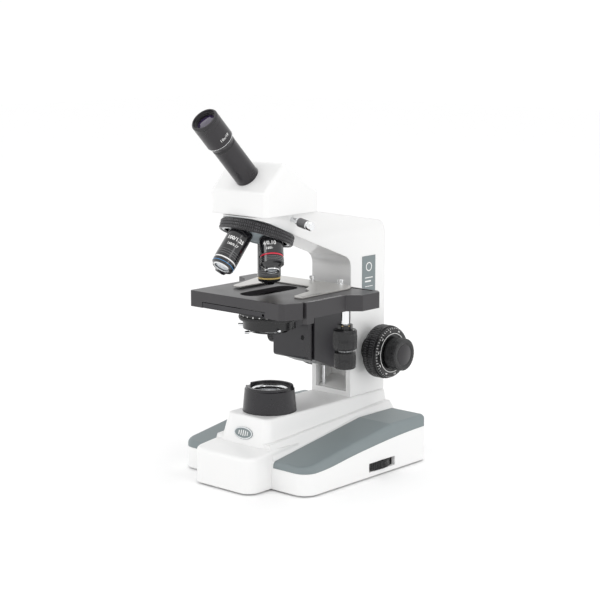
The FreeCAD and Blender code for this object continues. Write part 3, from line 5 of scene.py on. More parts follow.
import bmesh
import bpy
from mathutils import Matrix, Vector


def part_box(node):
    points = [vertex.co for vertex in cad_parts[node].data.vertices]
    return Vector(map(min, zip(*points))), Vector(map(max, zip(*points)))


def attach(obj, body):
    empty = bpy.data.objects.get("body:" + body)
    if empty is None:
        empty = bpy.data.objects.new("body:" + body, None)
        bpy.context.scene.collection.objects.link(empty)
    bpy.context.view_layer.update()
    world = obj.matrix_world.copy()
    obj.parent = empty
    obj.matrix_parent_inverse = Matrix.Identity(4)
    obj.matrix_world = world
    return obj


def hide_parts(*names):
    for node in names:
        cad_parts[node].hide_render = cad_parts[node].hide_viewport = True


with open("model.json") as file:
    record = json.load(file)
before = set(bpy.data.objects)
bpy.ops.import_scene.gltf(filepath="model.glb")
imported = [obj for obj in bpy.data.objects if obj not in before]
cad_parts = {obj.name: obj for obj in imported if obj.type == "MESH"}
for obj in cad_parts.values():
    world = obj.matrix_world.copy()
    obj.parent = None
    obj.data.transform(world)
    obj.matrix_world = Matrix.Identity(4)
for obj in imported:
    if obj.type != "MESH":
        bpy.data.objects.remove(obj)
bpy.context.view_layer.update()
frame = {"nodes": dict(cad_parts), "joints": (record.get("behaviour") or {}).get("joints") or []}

MM = 0.001
X, Y, Z = Vector((1, 0, 0)), Vector((0, 1, 0)), Vector((0, 0, 1))
JOINTS = {j["name"]: j for j in frame["joints"]}
OPTICAL = Vector(JOINTS["head_turn"]["pos_m"])


def joint_axis(name):
    return Vector(JOINTS[name]["axis"]).normalized()


def joint_point(name):
    return Vector(JOINTS[name]["pos_m"])


# ------------------------------------------------------------------ materials
def surface(name, color, roughness, metallic=0.0, variation=0.04, patch=60.0, grain=900.0, bump=0.02,
            coat=0.0, edge=0.0, edge_highlight_color=(0.5, 0.5, 0.5), bevel=0.35, rough_spread=0.06, brushed=None):
    """Painted, moulded or machined surface: patchy tone, uneven gloss, fine grain and softened edges, with a
    painted highlight along the edges.
    Sizes are in features per metre; bevel is the radius in millimetres of the softened edges."""
    mat = bpy.data.materials.new(name)
    mat.use_nodes = True
    tree = mat.node_tree
    nodes, links = tree.nodes, tree.links
    shader = nodes["Principled BSDF"]
    shader.inputs["Metallic"].default_value = metallic
    shader.inputs["Coat Weight"].default_value = coat
    shader.inputs["Coat Roughness"].default_value = 0.06
    place = nodes.new("ShaderNodeTexCoord")
    stretch = nodes.new("ShaderNodeMapping")
    stretch.inputs["Scale"].default_value = brushed or (1, 1, 1)
    links.new(place.outputs["Object"], stretch.inputs["Vector"])

    def noise(scale, detail, source):
        made = nodes.new("ShaderNodeTexNoise")
        made.inputs["Scale"].default_value = scale
        made.inputs["Detail"].default_value = detail
        links.new(source, made.inputs["Vector"])
        return made.outputs["Fac"]

    def mapped(value, low, high, low_in=0.3, high_in=0.7):
        span = nodes.new("ShaderNodeMapRange")
        span.inputs["From Min"].default_value = low_in
        span.inputs["From Max"].default_value = high_in
        span.inputs["To Min"].default_value = low
        span.inputs["To Max"].default_value = high
        links.new(value, span.inputs["Value"])
        return span.outputs["Result"]

    def mixed(factor, first, second):
        mix = nodes.new("ShaderNodeMix")
        mix.data_type = "RGBA"
        links.new(factor, mix.inputs["Factor"])
        for socket, value in ((mix.inputs["A"], first), (mix.inputs["B"], second)):
            if isinstance(value, tuple):
                socket.default_value = (*value, 1)
            else:
                links.new(value, socket)
        return mix.outputs["Result"]

    patches = noise(patch, 4, place.outputs["Object"])
    fine = noise(grain, 3, stretch.outputs["Vector"])
    darker = tuple(c * (1 - variation) for c in color)
    lighter = tuple(min(1.0, c * (1 + variation)) for c in color)
    tone = mixed(mapped(patches, 0, 1), darker, lighter)
    rounded = nodes.new("ShaderNodeBevel")
    rounded.samples = 4
    rounded.inputs["Radius"].default_value = bevel * MM
    # Lighter edges: a painted highlight along the edges, broken up by the fine grain.
    if edge > 0:
        flat = nodes.new("ShaderNodeNewGeometry")
        facing = nodes.new("ShaderNodeVectorMath")
        facing.operation = "DOT_PRODUCT"
        links.new(rounded.outputs["Normal"], facing.inputs[0])
        links.new(flat.outputs["Normal"], facing.inputs[1])
        edge_highlight = mapped(facing.outputs["Value"], edge, 0.0, 0.86, 0.985)
        broken_edge_highlight = nodes.new("ShaderNodeMath")
        broken_edge_highlight.operation = "MULTIPLY"
        links.new(edge_highlight, broken_edge_highlight.inputs[0])
        links.new(mapped(fine, 0.2, 1.0), broken_edge_highlight.inputs[1])
        tone = mixed(broken_edge_highlight.outputs["Value"], tone, edge_highlight_color)
    links.new(tone, shader.inputs["Base Color"])
    links.new(mapped(patches, roughness - rough_spread, roughness + rough_spread), shader.inputs["Roughness"])
    relief = nodes.new("ShaderNodeBump")
    relief.inputs["Strength"].default_value = min(1.0, bump * 10)
    relief.inputs["Distance"].default_value = bump * MM
    links.new(fine, relief.inputs["Height"])
    links.new(rounded.outputs["Normal"], relief.inputs["Normal"])
    links.new(relief.outputs["Normal"], shader.inputs["Normal"])
    return mat


def lens_glass(name, shade_tint, reflection_tint):
    """Coated lens: base colour painted dark as shade inside, with a painted coloured reflection that
    strengthens towards the rim.
    """
    mat = bpy.data.materials.new(name)
    mat.use_nodes = True
    tree = mat.node_tree
    shader = tree.nodes["Principled BSDF"]
    facing = tree.nodes.new("ShaderNodeLayerWeight")
    facing.inputs["Blend"].default_value = 0.35
    speck = tree.nodes.new("ShaderNodeTexNoise")
    speck.inputs["Scale"].default_value = 400
    spread = tree.nodes.new("ShaderNodeMapRange")
    spread.inputs["To Min"].default_value = 0.015
    spread.inputs["To Max"].default_value = 0.05
    mix = tree.nodes.new("ShaderNodeMix")
    mix.data_type = "RGBA"
    mix.inputs["A"].default_value = (*shade_tint, 1)
    mix.inputs["B"].default_value = (*reflection_tint, 1)
    tree.links.new(facing.outputs["Facing"], mix.inputs["Factor"])
    tree.links.new(mix.outputs["Result"], shader.inputs["Base Color"])
    tree.links.new(speck.outputs["Fac"], spread.inputs["Value"])
    tree.links.new(spread.outputs["Result"], shader.inputs["Roughness"])
    shader.inputs["IOR"].default_value = 1.6
    shader.inputs["Coat Weight"].default_value = 1.0
    shader.inputs["Coat Roughness"].default_value = 0.01
    return mat


WHITE = surface("white_enamel", (0.87, 0.87, 0.866), 0.26, variation=0.004, patch=9, grain=700, bump=0.004,
                coat=0.25, bevel=1.2, rough_spread=0.015)
WHITE_MOULDED = surface("white_moulding", (0.87, 0.87, 0.866), 0.32, variation=0.004, patch=9, grain=1400,
                        bump=0.005, coat=0.1, bevel=1.2, rough_spread=0.015)
PAD = surface("slate_pad", (0.205, 0.242, 0.250), 0.45, variation=0.03, patch=40, grain=1800, bump=0.03,
              bevel=0.8, rough_spread=0.03)
# The edge settings below paint a lighter highlight along the edges of these dark finishes.
CHARCOAL = surface("charcoal_paint", (0.020, 0.019, 0.023), 0.30, variation=0.08, patch=35, grain=2200,
                   bump=0.03, edge=0.35, edge_highlight_color=(0.20, 0.20, 0.21), bevel=0.4, rough_spread=0.03)
STAGE_TOP_PAINT = surface("stage_paint", (0.032, 0.030, 0.033), 0.34, variation=0.08, patch=35, grain=2200,
                          bump=0.012, coat=0.0, edge=0.35, edge_highlight_color=(0.24, 0.24, 0.25), bevel=0.4,
                          rough_spread=0.03)
BLACK_KNOB = surface("black_knob", (0.011, 0.011, 0.012), 0.27, variation=0.12, patch=70, grain=1500,
                     bump=0.012, edge=0.6, edge_highlight_color=(0.17, 0.17, 0.175), bevel=0.2, rough_spread=0.03)
BLACK_TUBE = surface("black_anodised", (0.018, 0.016, 0.019), 0.30, variation=0.06, patch=50, grain=2600,
                     bump=0.02, edge=0.3, edge_highlight_color=(0.2, 0.2, 0.21), bevel=0.25, rough_spread=0.03)
BLACK_GLOSS = surface("black_enamel", (0.009, 0.009, 0.011), 0.16, variation=0.15, patch=80, grain=700,
                      bump=0.006, coat=0.5, edge=0.2, edge_highlight_color=(0.12, 0.12, 0.12), bevel=0.2,
                      rough_spread=0.03)
LAMP_BLACK = surface("lamp_moulding", (0.014, 0.013, 0.016), 0.28, variation=0.06, patch=60, grain=1700,
                     bump=0.02, edge=0.25, edge_highlight_color=(0.15, 0.15, 0.15), bevel=0.4, rough_spread=0.03)
# Knurl pads painted lighter than the knob black, with lighter edges: a painted highlight on the knurling.
KNURL_PAINTED_HIGHLIGHT = surface("knurl_black_painted_highlight", (0.055, 0.054, 0.058), 0.24, variation=0.1, patch=90, grain=1500,
                  bump=0.01, edge=0.8, edge_highlight_color=(0.30, 0.30, 0.31), bevel=0.2, rough_spread=0.03)
# Matt black for the seam and the screw cap; it is also laid under the knurl grooves as painted shade.
MATT_BLACK_AND_SHADE = surface("matt_black_and_painted_shade", (0.006, 0.006, 0.007), 0.7, variation=0.2, bump=0.03)
TURRET = surface("turret_anodised", (0.44, 0.50, 0.53), 0.34, metallic=0.2, variation=0.04, patch=45,
                 grain=1500, bump=0.012, bevel=0.4, rough_spread=0.03)
CHROME = surface("polished_chrome", (0.82, 0.83, 0.84), 0.14, metallic=1.0, variation=0.03, patch=50,
                 grain=800, bump=0.004, rough_spread=0.03)
STEEL = surface("ground_steel", (0.56, 0.57, 0.58), 0.3, metallic=1.0, variation=0.06, grain=500, bump=0.012,
                brushed=(1, 30, 30))
SILVER = surface("satin_nickel", (0.62, 0.61, 0.59), 0.34, metallic=0.8, variation=0.04, patch=40, grain=500,
                 bump=0.010, brushed=(2, 40, 40), bevel=0.2)
STEEL_DARK = surface("dark_steel", (0.20, 0.20, 0.205), 0.3, metallic=0.9, variation=0.06, grain=500,
                     bump=0.01, edge=0.5, edge_highlight_color=(0.6, 0.6, 0.6), bevel=0.1)
BRASS = surface("turned_brass", (0.72, 0.53, 0.26), 0.28, metallic=1.0, variation=0.06, grain=900, bump=0.01)
RUBBER = surface("foot_rubber", (0.022, 0.022, 0.022), 0.8, variation=0.12, grain=2500, bump=0.05)
BOARD = surface("circuit_board", (0.03, 0.16, 0.08), 0.4, variation=0.15, patch=300, grain=1200, bump=0.03)
SCREEN = surface("slot_screen", (0.90, 0.90, 0.89), 0.5, variation=0.02, patch=40, grain=900, bump=0.01)
RIM = surface("badge_rim", (0.74, 0.76, 0.77), 0.3, metallic=0.4, variation=0.04, grain=1200, bump=0.008)
MARKING = surface("white_marking", (0.86, 0.86, 0.85), 0.45, variation=0.04, patch=300, grain=2500, bump=0.01,
                  bevel=0.02)
RED = surface("red_ring", (0.66, 0.012, 0.045), 0.3, variation=0.06, patch=200, bump=0.006, coat=0.4,
              bevel=0.05)
YELLOW = surface("yellow_ring", (0.66, 0.47, 0.12), 0.3, variation=0.06, patch=200, bump=0.006, coat=0.4,
                 bevel=0.05)
BLUE = surface("blue_ring", (0.08, 0.34, 0.72), 0.3, variation=0.06, patch=200, bump=0.006, coat=0.4,
               bevel=0.05)
EYE_GLASS = lens_glass("eye_lens_glass", (0.006, 0.004, 0.012), (0.06, 0.03, 0.12))
FRONT_GLASS = lens_glass("front_lens_glass", (0.25, 0.27, 0.29), (0.75, 0.80, 0.85))
LAMP_GLASS = lens_glass("field_lens_glass", (0.30, 0.32, 0.35), (0.75, 0.78, 0.82))

CAD_FINISH = [
    (WHITE, ["column_arm", "head_housing"]),
    (WHITE_MOULDED, ["base_housing"]),
    (PAD, ["side_pad_right", "side_pad_left", "side_labels", "front_badge"]),
    (CHARCOAL, ["focus_carriage", "stage_base", "condenser_bracket", "nosepiece_base"]),
    (STAGE_TOP_PAINT, ["stage_plate"]),
    (BLACK_KNOB, ["coarse_knob_right", "coarse_knob_left", "fine_knob_right", "fine_knob_left",
                  "y_drive_knob",
                  "x_drive_knob", "condenser_knob", "tension_ring", "intensity_wheel", "power_inlet",
                  "switch_frame", "power_rocker", "condenser_body", "focus_bushings"]),
    (BLACK_TUBE, ["eyepiece_tube", "eyepiece_barrel", "nosepiece_grip"]),
    (BLACK_GLOSS, ["objective_10x", "objective_4x", "objective_100x", "objective_40x"]),
    (LAMP_BLACK, ["lamp_housing"]),
    (TURRET, ["nosepiece_turret"]),
    (CHROME, ["guide_rods", "y_drive_sleeve", "head_lock_screw", "holder_screws", "iris_lever"]),
    (STEEL, ["base_cover", "base_screws", "dimmer_pot", "coarse_sleeve", "fine_shaft", "stage_rack",
             "drive_cable", "x_drive_shaft", "holder_carriage", "lamp_module"]),
    (SILVER, ["slide_holder", "slide_clip"]),
    (BRASS, ["focus_rack"]),
    (RUBBER, ["rubber_feet"]),
    (BOARD, ["power_board"]),
    (EYE_GLASS, ["eye_lens", "head_prism"]),
    (FRONT_GLASS, ["objective_lenses", "condenser_lens"]),
    (LAMP_GLASS, ["field_lens"]),
]
for finish, names in CAD_FINISH:
    for node_name in names:
        node = frame["nodes"][node_name]
        node.data.materials.clear()
        node.data.materials.append(finish)


# ------------------------------------------------------------------ detail tools
def axes_for(axis):
    """Two directions square to an axis: the first as near the viewer's right as it can be."""
    axis = Vector(axis).normalized()
    first = X - axis * X.dot(axis)
    if first.length < 0.2:
        first = Z - axis * Z.dot(axis)
    first.normalize()
    return first, axis.cross(first)


def finish_piece(name, vertices, faces, mat, body, crease=40):
    mesh = bpy.data.meshes.new(name)
    mesh.from_pydata(vertices, [], faces)
    made = bmesh.new()
    made.from_mesh(mesh)
    bmesh.ops.recalc_face_normals(made, faces=made.faces)
    made.to_mesh(mesh)
    made.free()
    mesh.polygons.foreach_set("use_smooth", [True] * len(mesh.polygons))
    mesh.set_sharp_from_angle(angle=math.radians(crease))
    mesh.materials.append(mat)
    piece = bpy.data.objects.new(name, mesh)
    scene.collection.objects.link(piece)
    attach(piece, body)
    return piece


def ring(name, origin, axis, stations, mat, body, count=128, relief=None):
    """Closed ring or cap: stations are (radius, distance along the axis) in mm, joined end to end.
    relief(angle share, station) gives extra radius in mm, for ribs and knurls."""
    first, second = axes_for(axis)
    axis = Vector(axis).normalized()
    vertices, faces = [], []
    for k, (radius, along) in enumerate(stations):
        for i in range(count):
            turn = 2 * math.pi * i / count
            extra = relief(i / count, k) if relief else 0
            out = first * math.cos(turn) + second * math.sin(turn)
            vertices.append(origin + axis * along * MM + out * (radius + extra) * MM)
    total = len(stations)
    for k in range(total):
        after = (k + 1) % total
        for i in range(count):
            j = (i + 1) % count
            faces.append((k * count + i, k * count + j, after * count + j, after * count + i))
    return finish_piece(name, vertices, faces, mat, body)


def knurl(name, origin, axis, radius, start, end, inner, mat, body, around=90, rows=3, depth=0.45):
    """Ring with a grid of raised pads between crossing grooves."""
    steps = rows * 4
    stations = [(inner, start)]
    for k in range(steps + 1):
        stations.append((radius, start + (end - start) * k / steps))
    stations.append((inner, end))

    def relief(share, station):
        if station in (0, steps + 2):
            return 0
        in_row = (station - 1) % 4 != 0
        in_pad = (share * around) % 1 > 0.3
        return 0 if in_row and in_pad else -depth

    return ring(name, origin, axis, stations, mat, body, count=around * 4, relief=relief)


def patch_box(name, centre, size, mat, body, first=X, second=Y):
    """Thin rectangular plate: size is (along first, along second, thick) in mm."""
    third = first.cross(second)
    vertices = []
    for c in (-0.5, 0.5):
        for b in (-0.5, 0.5):
            for a in (-0.5, 0.5):
                corner = first * size[0] * a + second * size[1] * b + third * size[2] * c
                vertices.append(centre + corner * MM)
    faces = [(0, 1, 3, 2), (4, 6, 7, 5), (0, 4, 5, 1), (2, 3, 7, 6), (0, 2, 6, 4), (1, 5, 7, 3)]
    return finish_piece(name, vertices, faces, mat, body)


def joined(name, pieces, body):
    """Many small marks as one mesh."""
    merged = bmesh.new()
    for piece in pieces:
        part = piece.data.copy()
        part.transform(piece.matrix_world)
        merged.from_mesh(part)
        bpy.data.meshes.remove(part)
    mesh = bpy.data.meshes.new(name)
    merged.to_mesh(mesh)
    merged.free()
    mesh.materials.append(pieces[0].data.materials[0])
    for piece in pieces:
        bpy.data.objects.remove(piece)
    whole = bpy.data.objects.new(name, mesh)
    scene.collection.objects.link(whole)
    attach(whole, body)
    return whole


def ticks(name, origin, axis, radius, along, length, width, turns, mat, body, cone=0.0):
    """Short marks along the axis on a round rim; along is their middle, turns their angles in degrees."""
    first, second = axes_for(axis)
    axis = Vector(axis).normalized()
    vertices, faces = [], []
    for index, turn in enumerate(turns):
        angle = math.radians(turn)
        span = length * (1.5 if index % 5 == 0 else 1.0)
        half = width / 2 / radius
        base = len(vertices)
        for lift in (-0.15, 0.05):
            for u, w in ((-half, -0.5), (half, -0.5), (half, 0.5), (-half, 0.5)):
                out = first * math.cos(angle + u) + second * math.sin(angle + u)
                r = radius + lift - cone * w * span
                vertices.append(origin + axis * (along + w * span) * MM + out * r * MM)
        faces += [tuple(base + v for v in quad) for quad in
                  ((0, 1, 2, 3), (4, 7, 6, 5), (0, 4, 5, 1), (1, 5, 6, 2), (2, 6, 7, 3), (3, 7, 4, 0))]
    return finish_piece(name, vertices, faces, mat, body)


def wrapped_text(name, words, size, origin, axis, radius, along, turn, mat, body, face=None, upright=1.0,
                 weight=0.0):
    """Raised characters round a barrel, or flat on an end face when face is a distance along the axis.
    turn is the middle's angle in degrees; the characters' up direction is along upright times the axis."""
    curve = bpy.data.curves.new(name + "_text", "FONT")
    curve.body = words
    curve.size = size
    curve.align_x = "CENTER"
    curve.align_y = "CENTER"
    curve.extrude = 0.05
    curve.offset = weight
    curve.resolution_u = 2
    source = bpy.data.objects.new(name + "_text", curve)
    scene.collection.objects.link(source)
    bpy.context.view_layer.update()
    mesh = bpy.data.meshes.new_from_object(source.evaluated_get(bpy.context.evaluated_depsgraph_get()))
    bpy.data.objects.remove(source)
    first, second = axes_for(axis)
    axis = Vector(axis).normalized()
    middle = math.radians(turn)
    for vertex in mesh.vertices:
        a, b, c = vertex.co
        if face is None:
            angle = middle + upright * a / radius
            out = first * math.cos(angle) + second * math.sin(angle)
            vertex.co = origin + axis * (along + upright * b) * MM + out * (radius + c) * MM
        else:
            angle = middle - a / radius
            out = first * math.cos(angle) + second * math.sin(angle)
            vertex.co = origin + axis * (face + c) * MM + out * (radius + b) * MM
    mesh.materials.append(mat)
    piece = bpy.data.objects.new(name, mesh)
    scene.collection.objects.link(piece)
    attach(piece, body)
    return piece


def facing_turn(axis, toward):
    """Angle on a barrel, in degrees, of the side that looks towards a direction."""
    first, second = axes_for(axis)
    return math.degrees(math.atan2(Vector(toward).dot(second), Vector(toward).dot(first)))


scene = bpy.context.scene
FRONT_RIGHT = Vector((0.66, -0.74, 0.1))        # from the object towards the viewer

# ------------------------------------------------------------------ nosepiece and objectives
NOSE = joint_point("nosepiece_turn")
NOSE_AXIS = joint_axis("nosepiece_turn")
NOSE_TILT = math.acos(-NOSE_AXIS.z)
NOSE_BACK = Vector((0, math.cos(NOSE_TILT), -math.sin(NOSE_TILT)))


def objective_axis(turn):
    angle = math.radians(turn)
    outward = NOSE_BACK * math.cos(angle) + X * math.sin(angle)
    return NOSE_AXIS * math.cos(NOSE_TILT) + outward * math.sin(NOSE_TILT)


GRIP_RADIUS, GRIP_BORE = 39.15, 36.2
GRIP_LOW, GRIP_HIGH = 46.2, 55.4
grip = knurl("nosepiece_knurl", NOSE, NOSE_AXIS, GRIP_RADIUS, GRIP_LOW, GRIP_HIGH, GRIP_BORE, KNURL_PAINTED_HIGHLIGHT,
             "nosepiece", around=110, rows=3, depth=0.9)
# Dark ring under the knurl grooves: painted shade in the groove floors.
ring("nosepiece_knurl_groove_shade", NOSE, NOSE_AXIS, [(36.3, 46.3), (38.45, 46.3), (38.45, 55.3), (36.3, 55.3)],
     MATT_BLACK_AND_SHADE, "nosepiece")
ring("nosepiece_grip_edge", NOSE, NOSE_AXIS, [(GRIP_BORE, 45.6), (38.3, 45.6), (38.6, GRIP_LOW),
                                              (GRIP_BORE, GRIP_LOW)], BLACK_TUBE, "nosepiece")
ring("nosepiece_grip_rim", NOSE, NOSE_AXIS, [(GRIP_BORE, GRIP_HIGH), (38.6, GRIP_HIGH), (38.3, 56.0),
                                             (36.4, 56.0)], BLACK_TUBE, "nosepiece")
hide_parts("nosepiece_grip")
ring("turret_track", NOSE, NOSE_AXIS, [(33.0, 55.2), (35.9, 54.0), (35.9, 55.4), (34.0, 56.1)], STEEL,
     "nosepiece")

SHOULDER_REACH = 60                             # mm from the turning centre to an objective's shoulder
BAND_BORE, BAND_RADIUS = 11.2, 11.85
LETTER_RADIUS = 12.24
# name: turn on the turret, coloured band and its start and end, start and end of the grooves,
# middle of the large characters, step to the small ones, the two lines of characters
LENSES = {
    "10x": (0, YELLOW, 35.4, 36.9, 27.0, 33.0, 15.0, 6.8, "10/0.25", "160/0.17"),
    "4x": (90, RED, 18.9, 20.3, 22.2, 26.6, 8.2, 5.6, "4/0.10", "160/-"),
    "100x": (180, MARKING, 36.7, 38.1, 28.0, 34.6, 15.0, 6.8, "100/1.25", "160/0.17"),
    "40x": (270, BLUE, 35.7, 37.1, 27.0, 33.6, 15.0, 6.8, "40/0.65", "160/0.17"),
}
for label, lens in LENSES.items():
    turn, colour, low, high, first_groove, last_groove, text_at, step_down, large, small = lens
    axis = objective_axis(turn)
    shoulder = NOSE + axis * SHOULDER_REACH * MM
    ring("band_" + label, shoulder, axis, [(BAND_BORE, low), (BAND_RADIUS, low), (BAND_RADIUS, high),
                                           (BAND_BORE, high)], colour, "nosepiece", count=96)
    ring("collar_" + label, shoulder, axis, [(9.9, -0.4), (12.0, -0.4), (12.35, 0.0), (12.35, 1.4),
                                             (12.0, 1.8), (9.9, 1.8)], BLACK_GLOSS, "nosepiece", count=96)
    for step in range(3):
        start = first_groove + step * (last_groove - first_groove) / 2.6
        ring("groove_%s_%d" % (label, step), shoulder, axis,
             [(11.6, start), (12.27, start), (12.32, start + 0.2), (12.27, start + 0.4), (11.6, start + 0.4)],
             STEEL_DARK, "nosepiece", count=96)
    toward = facing_turn(axis, FRONT_RIGHT + Vector((-0.15, 0, 0)))
    wrapped_text("magnification_" + label, large, 5.6, shoulder, axis, LETTER_RADIUS, text_at, toward,
                 MARKING, "nosepiece", upright=-1.0, weight=0.16)
    wrapped_text("tube_length_" + label, small, 3.6, shoulder, axis, LETTER_RADIUS, text_at + step_down,
                 toward, MARKING, "nosepiece", upright=-1.0, weight=0.08)
hundred = objective_axis(180)
ring("immersion_band", NOSE + hundred * SHOULDER_REACH * MM, hundred, [(BAND_BORE, 41.6), (11.9, 41.6),
                                                                      (11.86, 42.0), (BAND_BORE, 42.0)], BLUE,
     "nosepiece", count=96)
for label, turn, outline in (("100x", 180, [(7.7, 43.4), (9.2, 43.5), (9.0, 44.3), (8.4, 44.9), (7.7, 44.9)]),
                             ("4x", 90, [(5.8, 33.8), (7.5, 33.6), (7.3, 34.7), (6.6, 35.0), (5.8, 35.0)]),
                             ("40x", 270, [(2.9, 43.6), (5.7, 43.2), (5.4, 44.6), (4.6, 44.9), (2.9, 44.9)]),
                             ("10x", 0, [(3.5, 42.4), (5.4, 42.2), (5.1, 43.3), (4.4, 43.6), (3.5, 43.6)])):
    axis = objective_axis(turn)
    ring("nose_" + label, NOSE + axis * SHOULDER_REACH * MM, axis, outline, CHROME, "nosepiece", count=72)

# ------------------------------------------------------------------ head, eyepiece and its lock
TUBE_AXIS = joint_axis("eyepiece_pull")
TUBE_FOOT_OFFSET, TUBE_FOOT_HEIGHT = -32.4, 320.6
TUBE_LENGTH = 49
TUBE_FOOT = OPTICAL + Vector((0, TUBE_FOOT_OFFSET, TUBE_FOOT_HEIGHT - OPTICAL.z / MM)) * MM
SHOULDER = TUBE_FOOT + TUBE_AXIS * TUBE_LENGTH * MM
ring("eyepiece_band", SHOULDER, TUBE_AXIS, [(12.4, 6.1), (14.48, 6.1), (14.48, 6.5), (12.4, 6.5)], CHROME,
     "eyepiece")
ring("eyecup_lip", SHOULDER, TUBE_AXIS, [(11.2, 34.4), (13.4, 36.3), (14.1, 35.9), (14.4, 35.0), (14.4, 33.0),
                                         (14.2, 32.6), (12.0, 32.6)], BLACK_KNOB, "eyepiece")
ring("eyepiece_groove", SHOULDER, TUBE_AXIS, [(13.9, 29.0), (14.47, 29.2), (14.47, 29.6), (13.9, 29.8)],
     BLACK_KNOB, "eyepiece")
wrapped_text("eyepiece_power", "10x/18", 4.4, SHOULDER, TUBE_AXIS, 14.42, 13.0,
             facing_turn(TUBE_AXIS, Vector((0.97, -0.25, 0.0))), MARKING, "eyepiece")
ring("tube_collar", TUBE_FOOT, TUBE_AXIS, [(11.9, 46.9), (12.75, 46.9), (12.75, 48.7), (12.5, 49.0),
                                           (11.9, 49.0)], BLACK_KNOB, "head")

LOCK = joint_point("head_lock")
LOCK_AXIS = joint_axis("head_lock")
knurl("lock_grip", LOCK, LOCK_AXIS, 4.75, 43.4, 53.8, 4.0, STEEL_DARK, "lock", around=30, rows=6, depth=0.3)
ring("lock_cap", LOCK, LOCK_AXIS, [(0.05, 56.2), (4.6, 56.2), (4.6, 60.2), (3.9, 61.35), (0.05, 61.38)],
     CHROME, "lock", count=64)

# ------------------------------------------------------------------ focus knobs
FOCUS = joint_point("fine_focus")
for side, side_name in ((1, "right"), (-1, "left")):
    axis = X * side
    ring("dial_line_" + side_name, FOCUS, axis, [(20.9, 60.45), (21.5, 60.45), (21.5, 60.95), (20.9, 60.99)],
         MARKING, "coarse")
    for low, high in ((41.8, 47.6), (48.6, 55.2)):
        knurl("coarse_ribs_%s_%d" % (side_name, low), FOCUS, axis, 29.25, low, high, 27.6, KNURL_PAINTED_HIGHLIGHT, "coarse",
              around=66, rows=1, depth=1.0)
        # Dark ring under the rib grooves: painted shade in the groove floors.
        ring("coarse_groove_shade_%s_%d" % (side_name, low), FOCUS, axis, [(27.7, low + 0.1), (28.5, low + 0.1),
                                                                   (28.5, high - 0.1), (27.7, high - 0.1)],
             MATT_BLACK_AND_SHADE, "coarse")
    ticks("dial_marks_" + side_name, FOCUS, axis, 26.75, 59.92, 1.1, 0.42, [7.2 * i for i in range(50)],
          MARKING, "coarse", cone=0.78)
    for number in range(10):
        wrapped_text("dial_%s_%d" % (side_name, number), str(number * 10), 3.4, FOCUS, axis, 23.6, 0,
                     36.0 * number + 10, MARKING, "coarse", face=60.62, weight=0.08)
    knurl("fine_grip_" + side_name, FOCUS, axis, 17.75, 63.0, 74.8, 16.6, BLACK_KNOB, "fine", around=60,
          rows=5, depth=0.55)
    ring("fine_edge_" + side_name, FOCUS, axis, [(15.4, 76.4), (16.9, 76.0), (17.5, 75.2), (17.2, 74.8),
                                                 (15.4, 74.8)], BLACK_KNOB, "fine")
    ring("fine_cap_" + side_name, FOCUS, axis, [(0.05, 76.6), (10.6, 76.6), (10.9, 76.9), (10.2, 77.35),
                                                (0.05, 77.4)], BLACK_TUBE, "fine", count=96)

# ------------------------------------------------------------------ stage, its knobs and the slide holder
COAX = joint_point("stage_y_drive")
COAX.z = 0
STAGE_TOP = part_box("stage_plate")[1][2] / MM
ring("coax_collar_ring", COAX, Z, [(4.3, 165.6), (7.0, 165.6), (7.0, 166.2), (4.3, 166.4)], BRASS, "y_knob",
     count=64)
knurl("y_knob_grip", COAX, Z, 12.75, 142.2, 158.2, 11.8, BLACK_KNOB, "y_knob", around=48, rows=1, depth=0.5)
knurl("x_knob_grip", COAX, Z, 11.55, 122.0, 137.0, 10.6, BLACK_KNOB, "x_knob", around=44, rows=1, depth=0.5)
ring("x_knob_washer", COAX, Z, [(6.1, 138.5), (7.4, 138.5), (7.4, 139.3), (6.1, 139.3)], STEEL, "x_knob",
     count=64)

HOLDER_FACE = STAGE_TOP + 1.6
Y_SCALE_EDGE, Y_SCALE_START = 75.6, -20.0
X_SCALE_EDGE, X_SCALE_START = 74.5, -38.0
HOLDER_SCALE_X, HOLDER_SCALE_START = 55.6, -10.0


def mark_span(index, tenth, fifth, plain):
    """Length of a scale's mark: every tenth and every fifth one is longer."""
    if index % 10 == 0:
        return tenth
    return fifth if index % 5 == 0 else plain


marks = []
for index in range(31):
    span = mark_span(index, 4.2, 3.2, 2.2)
    place = Vector((Y_SCALE_EDGE - span / 2, Y_SCALE_START + index * 1.6 + OPTICAL.y / MM, STAGE_TOP)) * MM
    marks.append(patch_box("y_mark_%d" % index, place, (span, 0.32, 0.12), MARKING, "y_stage"))
joined("stage_y_scale", marks, "y_stage")
marks = []
for index in range(41):
    span = mark_span(index, 2.1, 1.7, 1.2)
    place = Vector((X_SCALE_START + index * 1.8, X_SCALE_EDGE + span / 2 + OPTICAL.y / MM, STAGE_TOP)) * MM
    marks.append(patch_box("x_mark_%d" % index, place, (0.32, span, 0.12), MARKING, "y_stage"))
joined("stage_x_scale", marks, "y_stage")
marks = []
for index in range(16):
    span = mark_span(index, 3.6, 3.6, 2.4)
    place = Vector((HOLDER_SCALE_X, HOLDER_SCALE_START + index * 1.9 + OPTICAL.y / MM, HOLDER_FACE)) * MM
    marks.append(patch_box("holder_mark_%d" % index, place, (span, 0.3, 0.12), BLACK_TUBE, "holder"))
joined("holder_scale", marks, "holder")
patch_box("stage_front_seam", Vector((-2.4, -51.75 + OPTICAL.y / MM, STAGE_TOP - 16.3)) * MM,
          (88.0, 0.6, 0.4), MATT_BLACK_AND_SHADE, "focus")

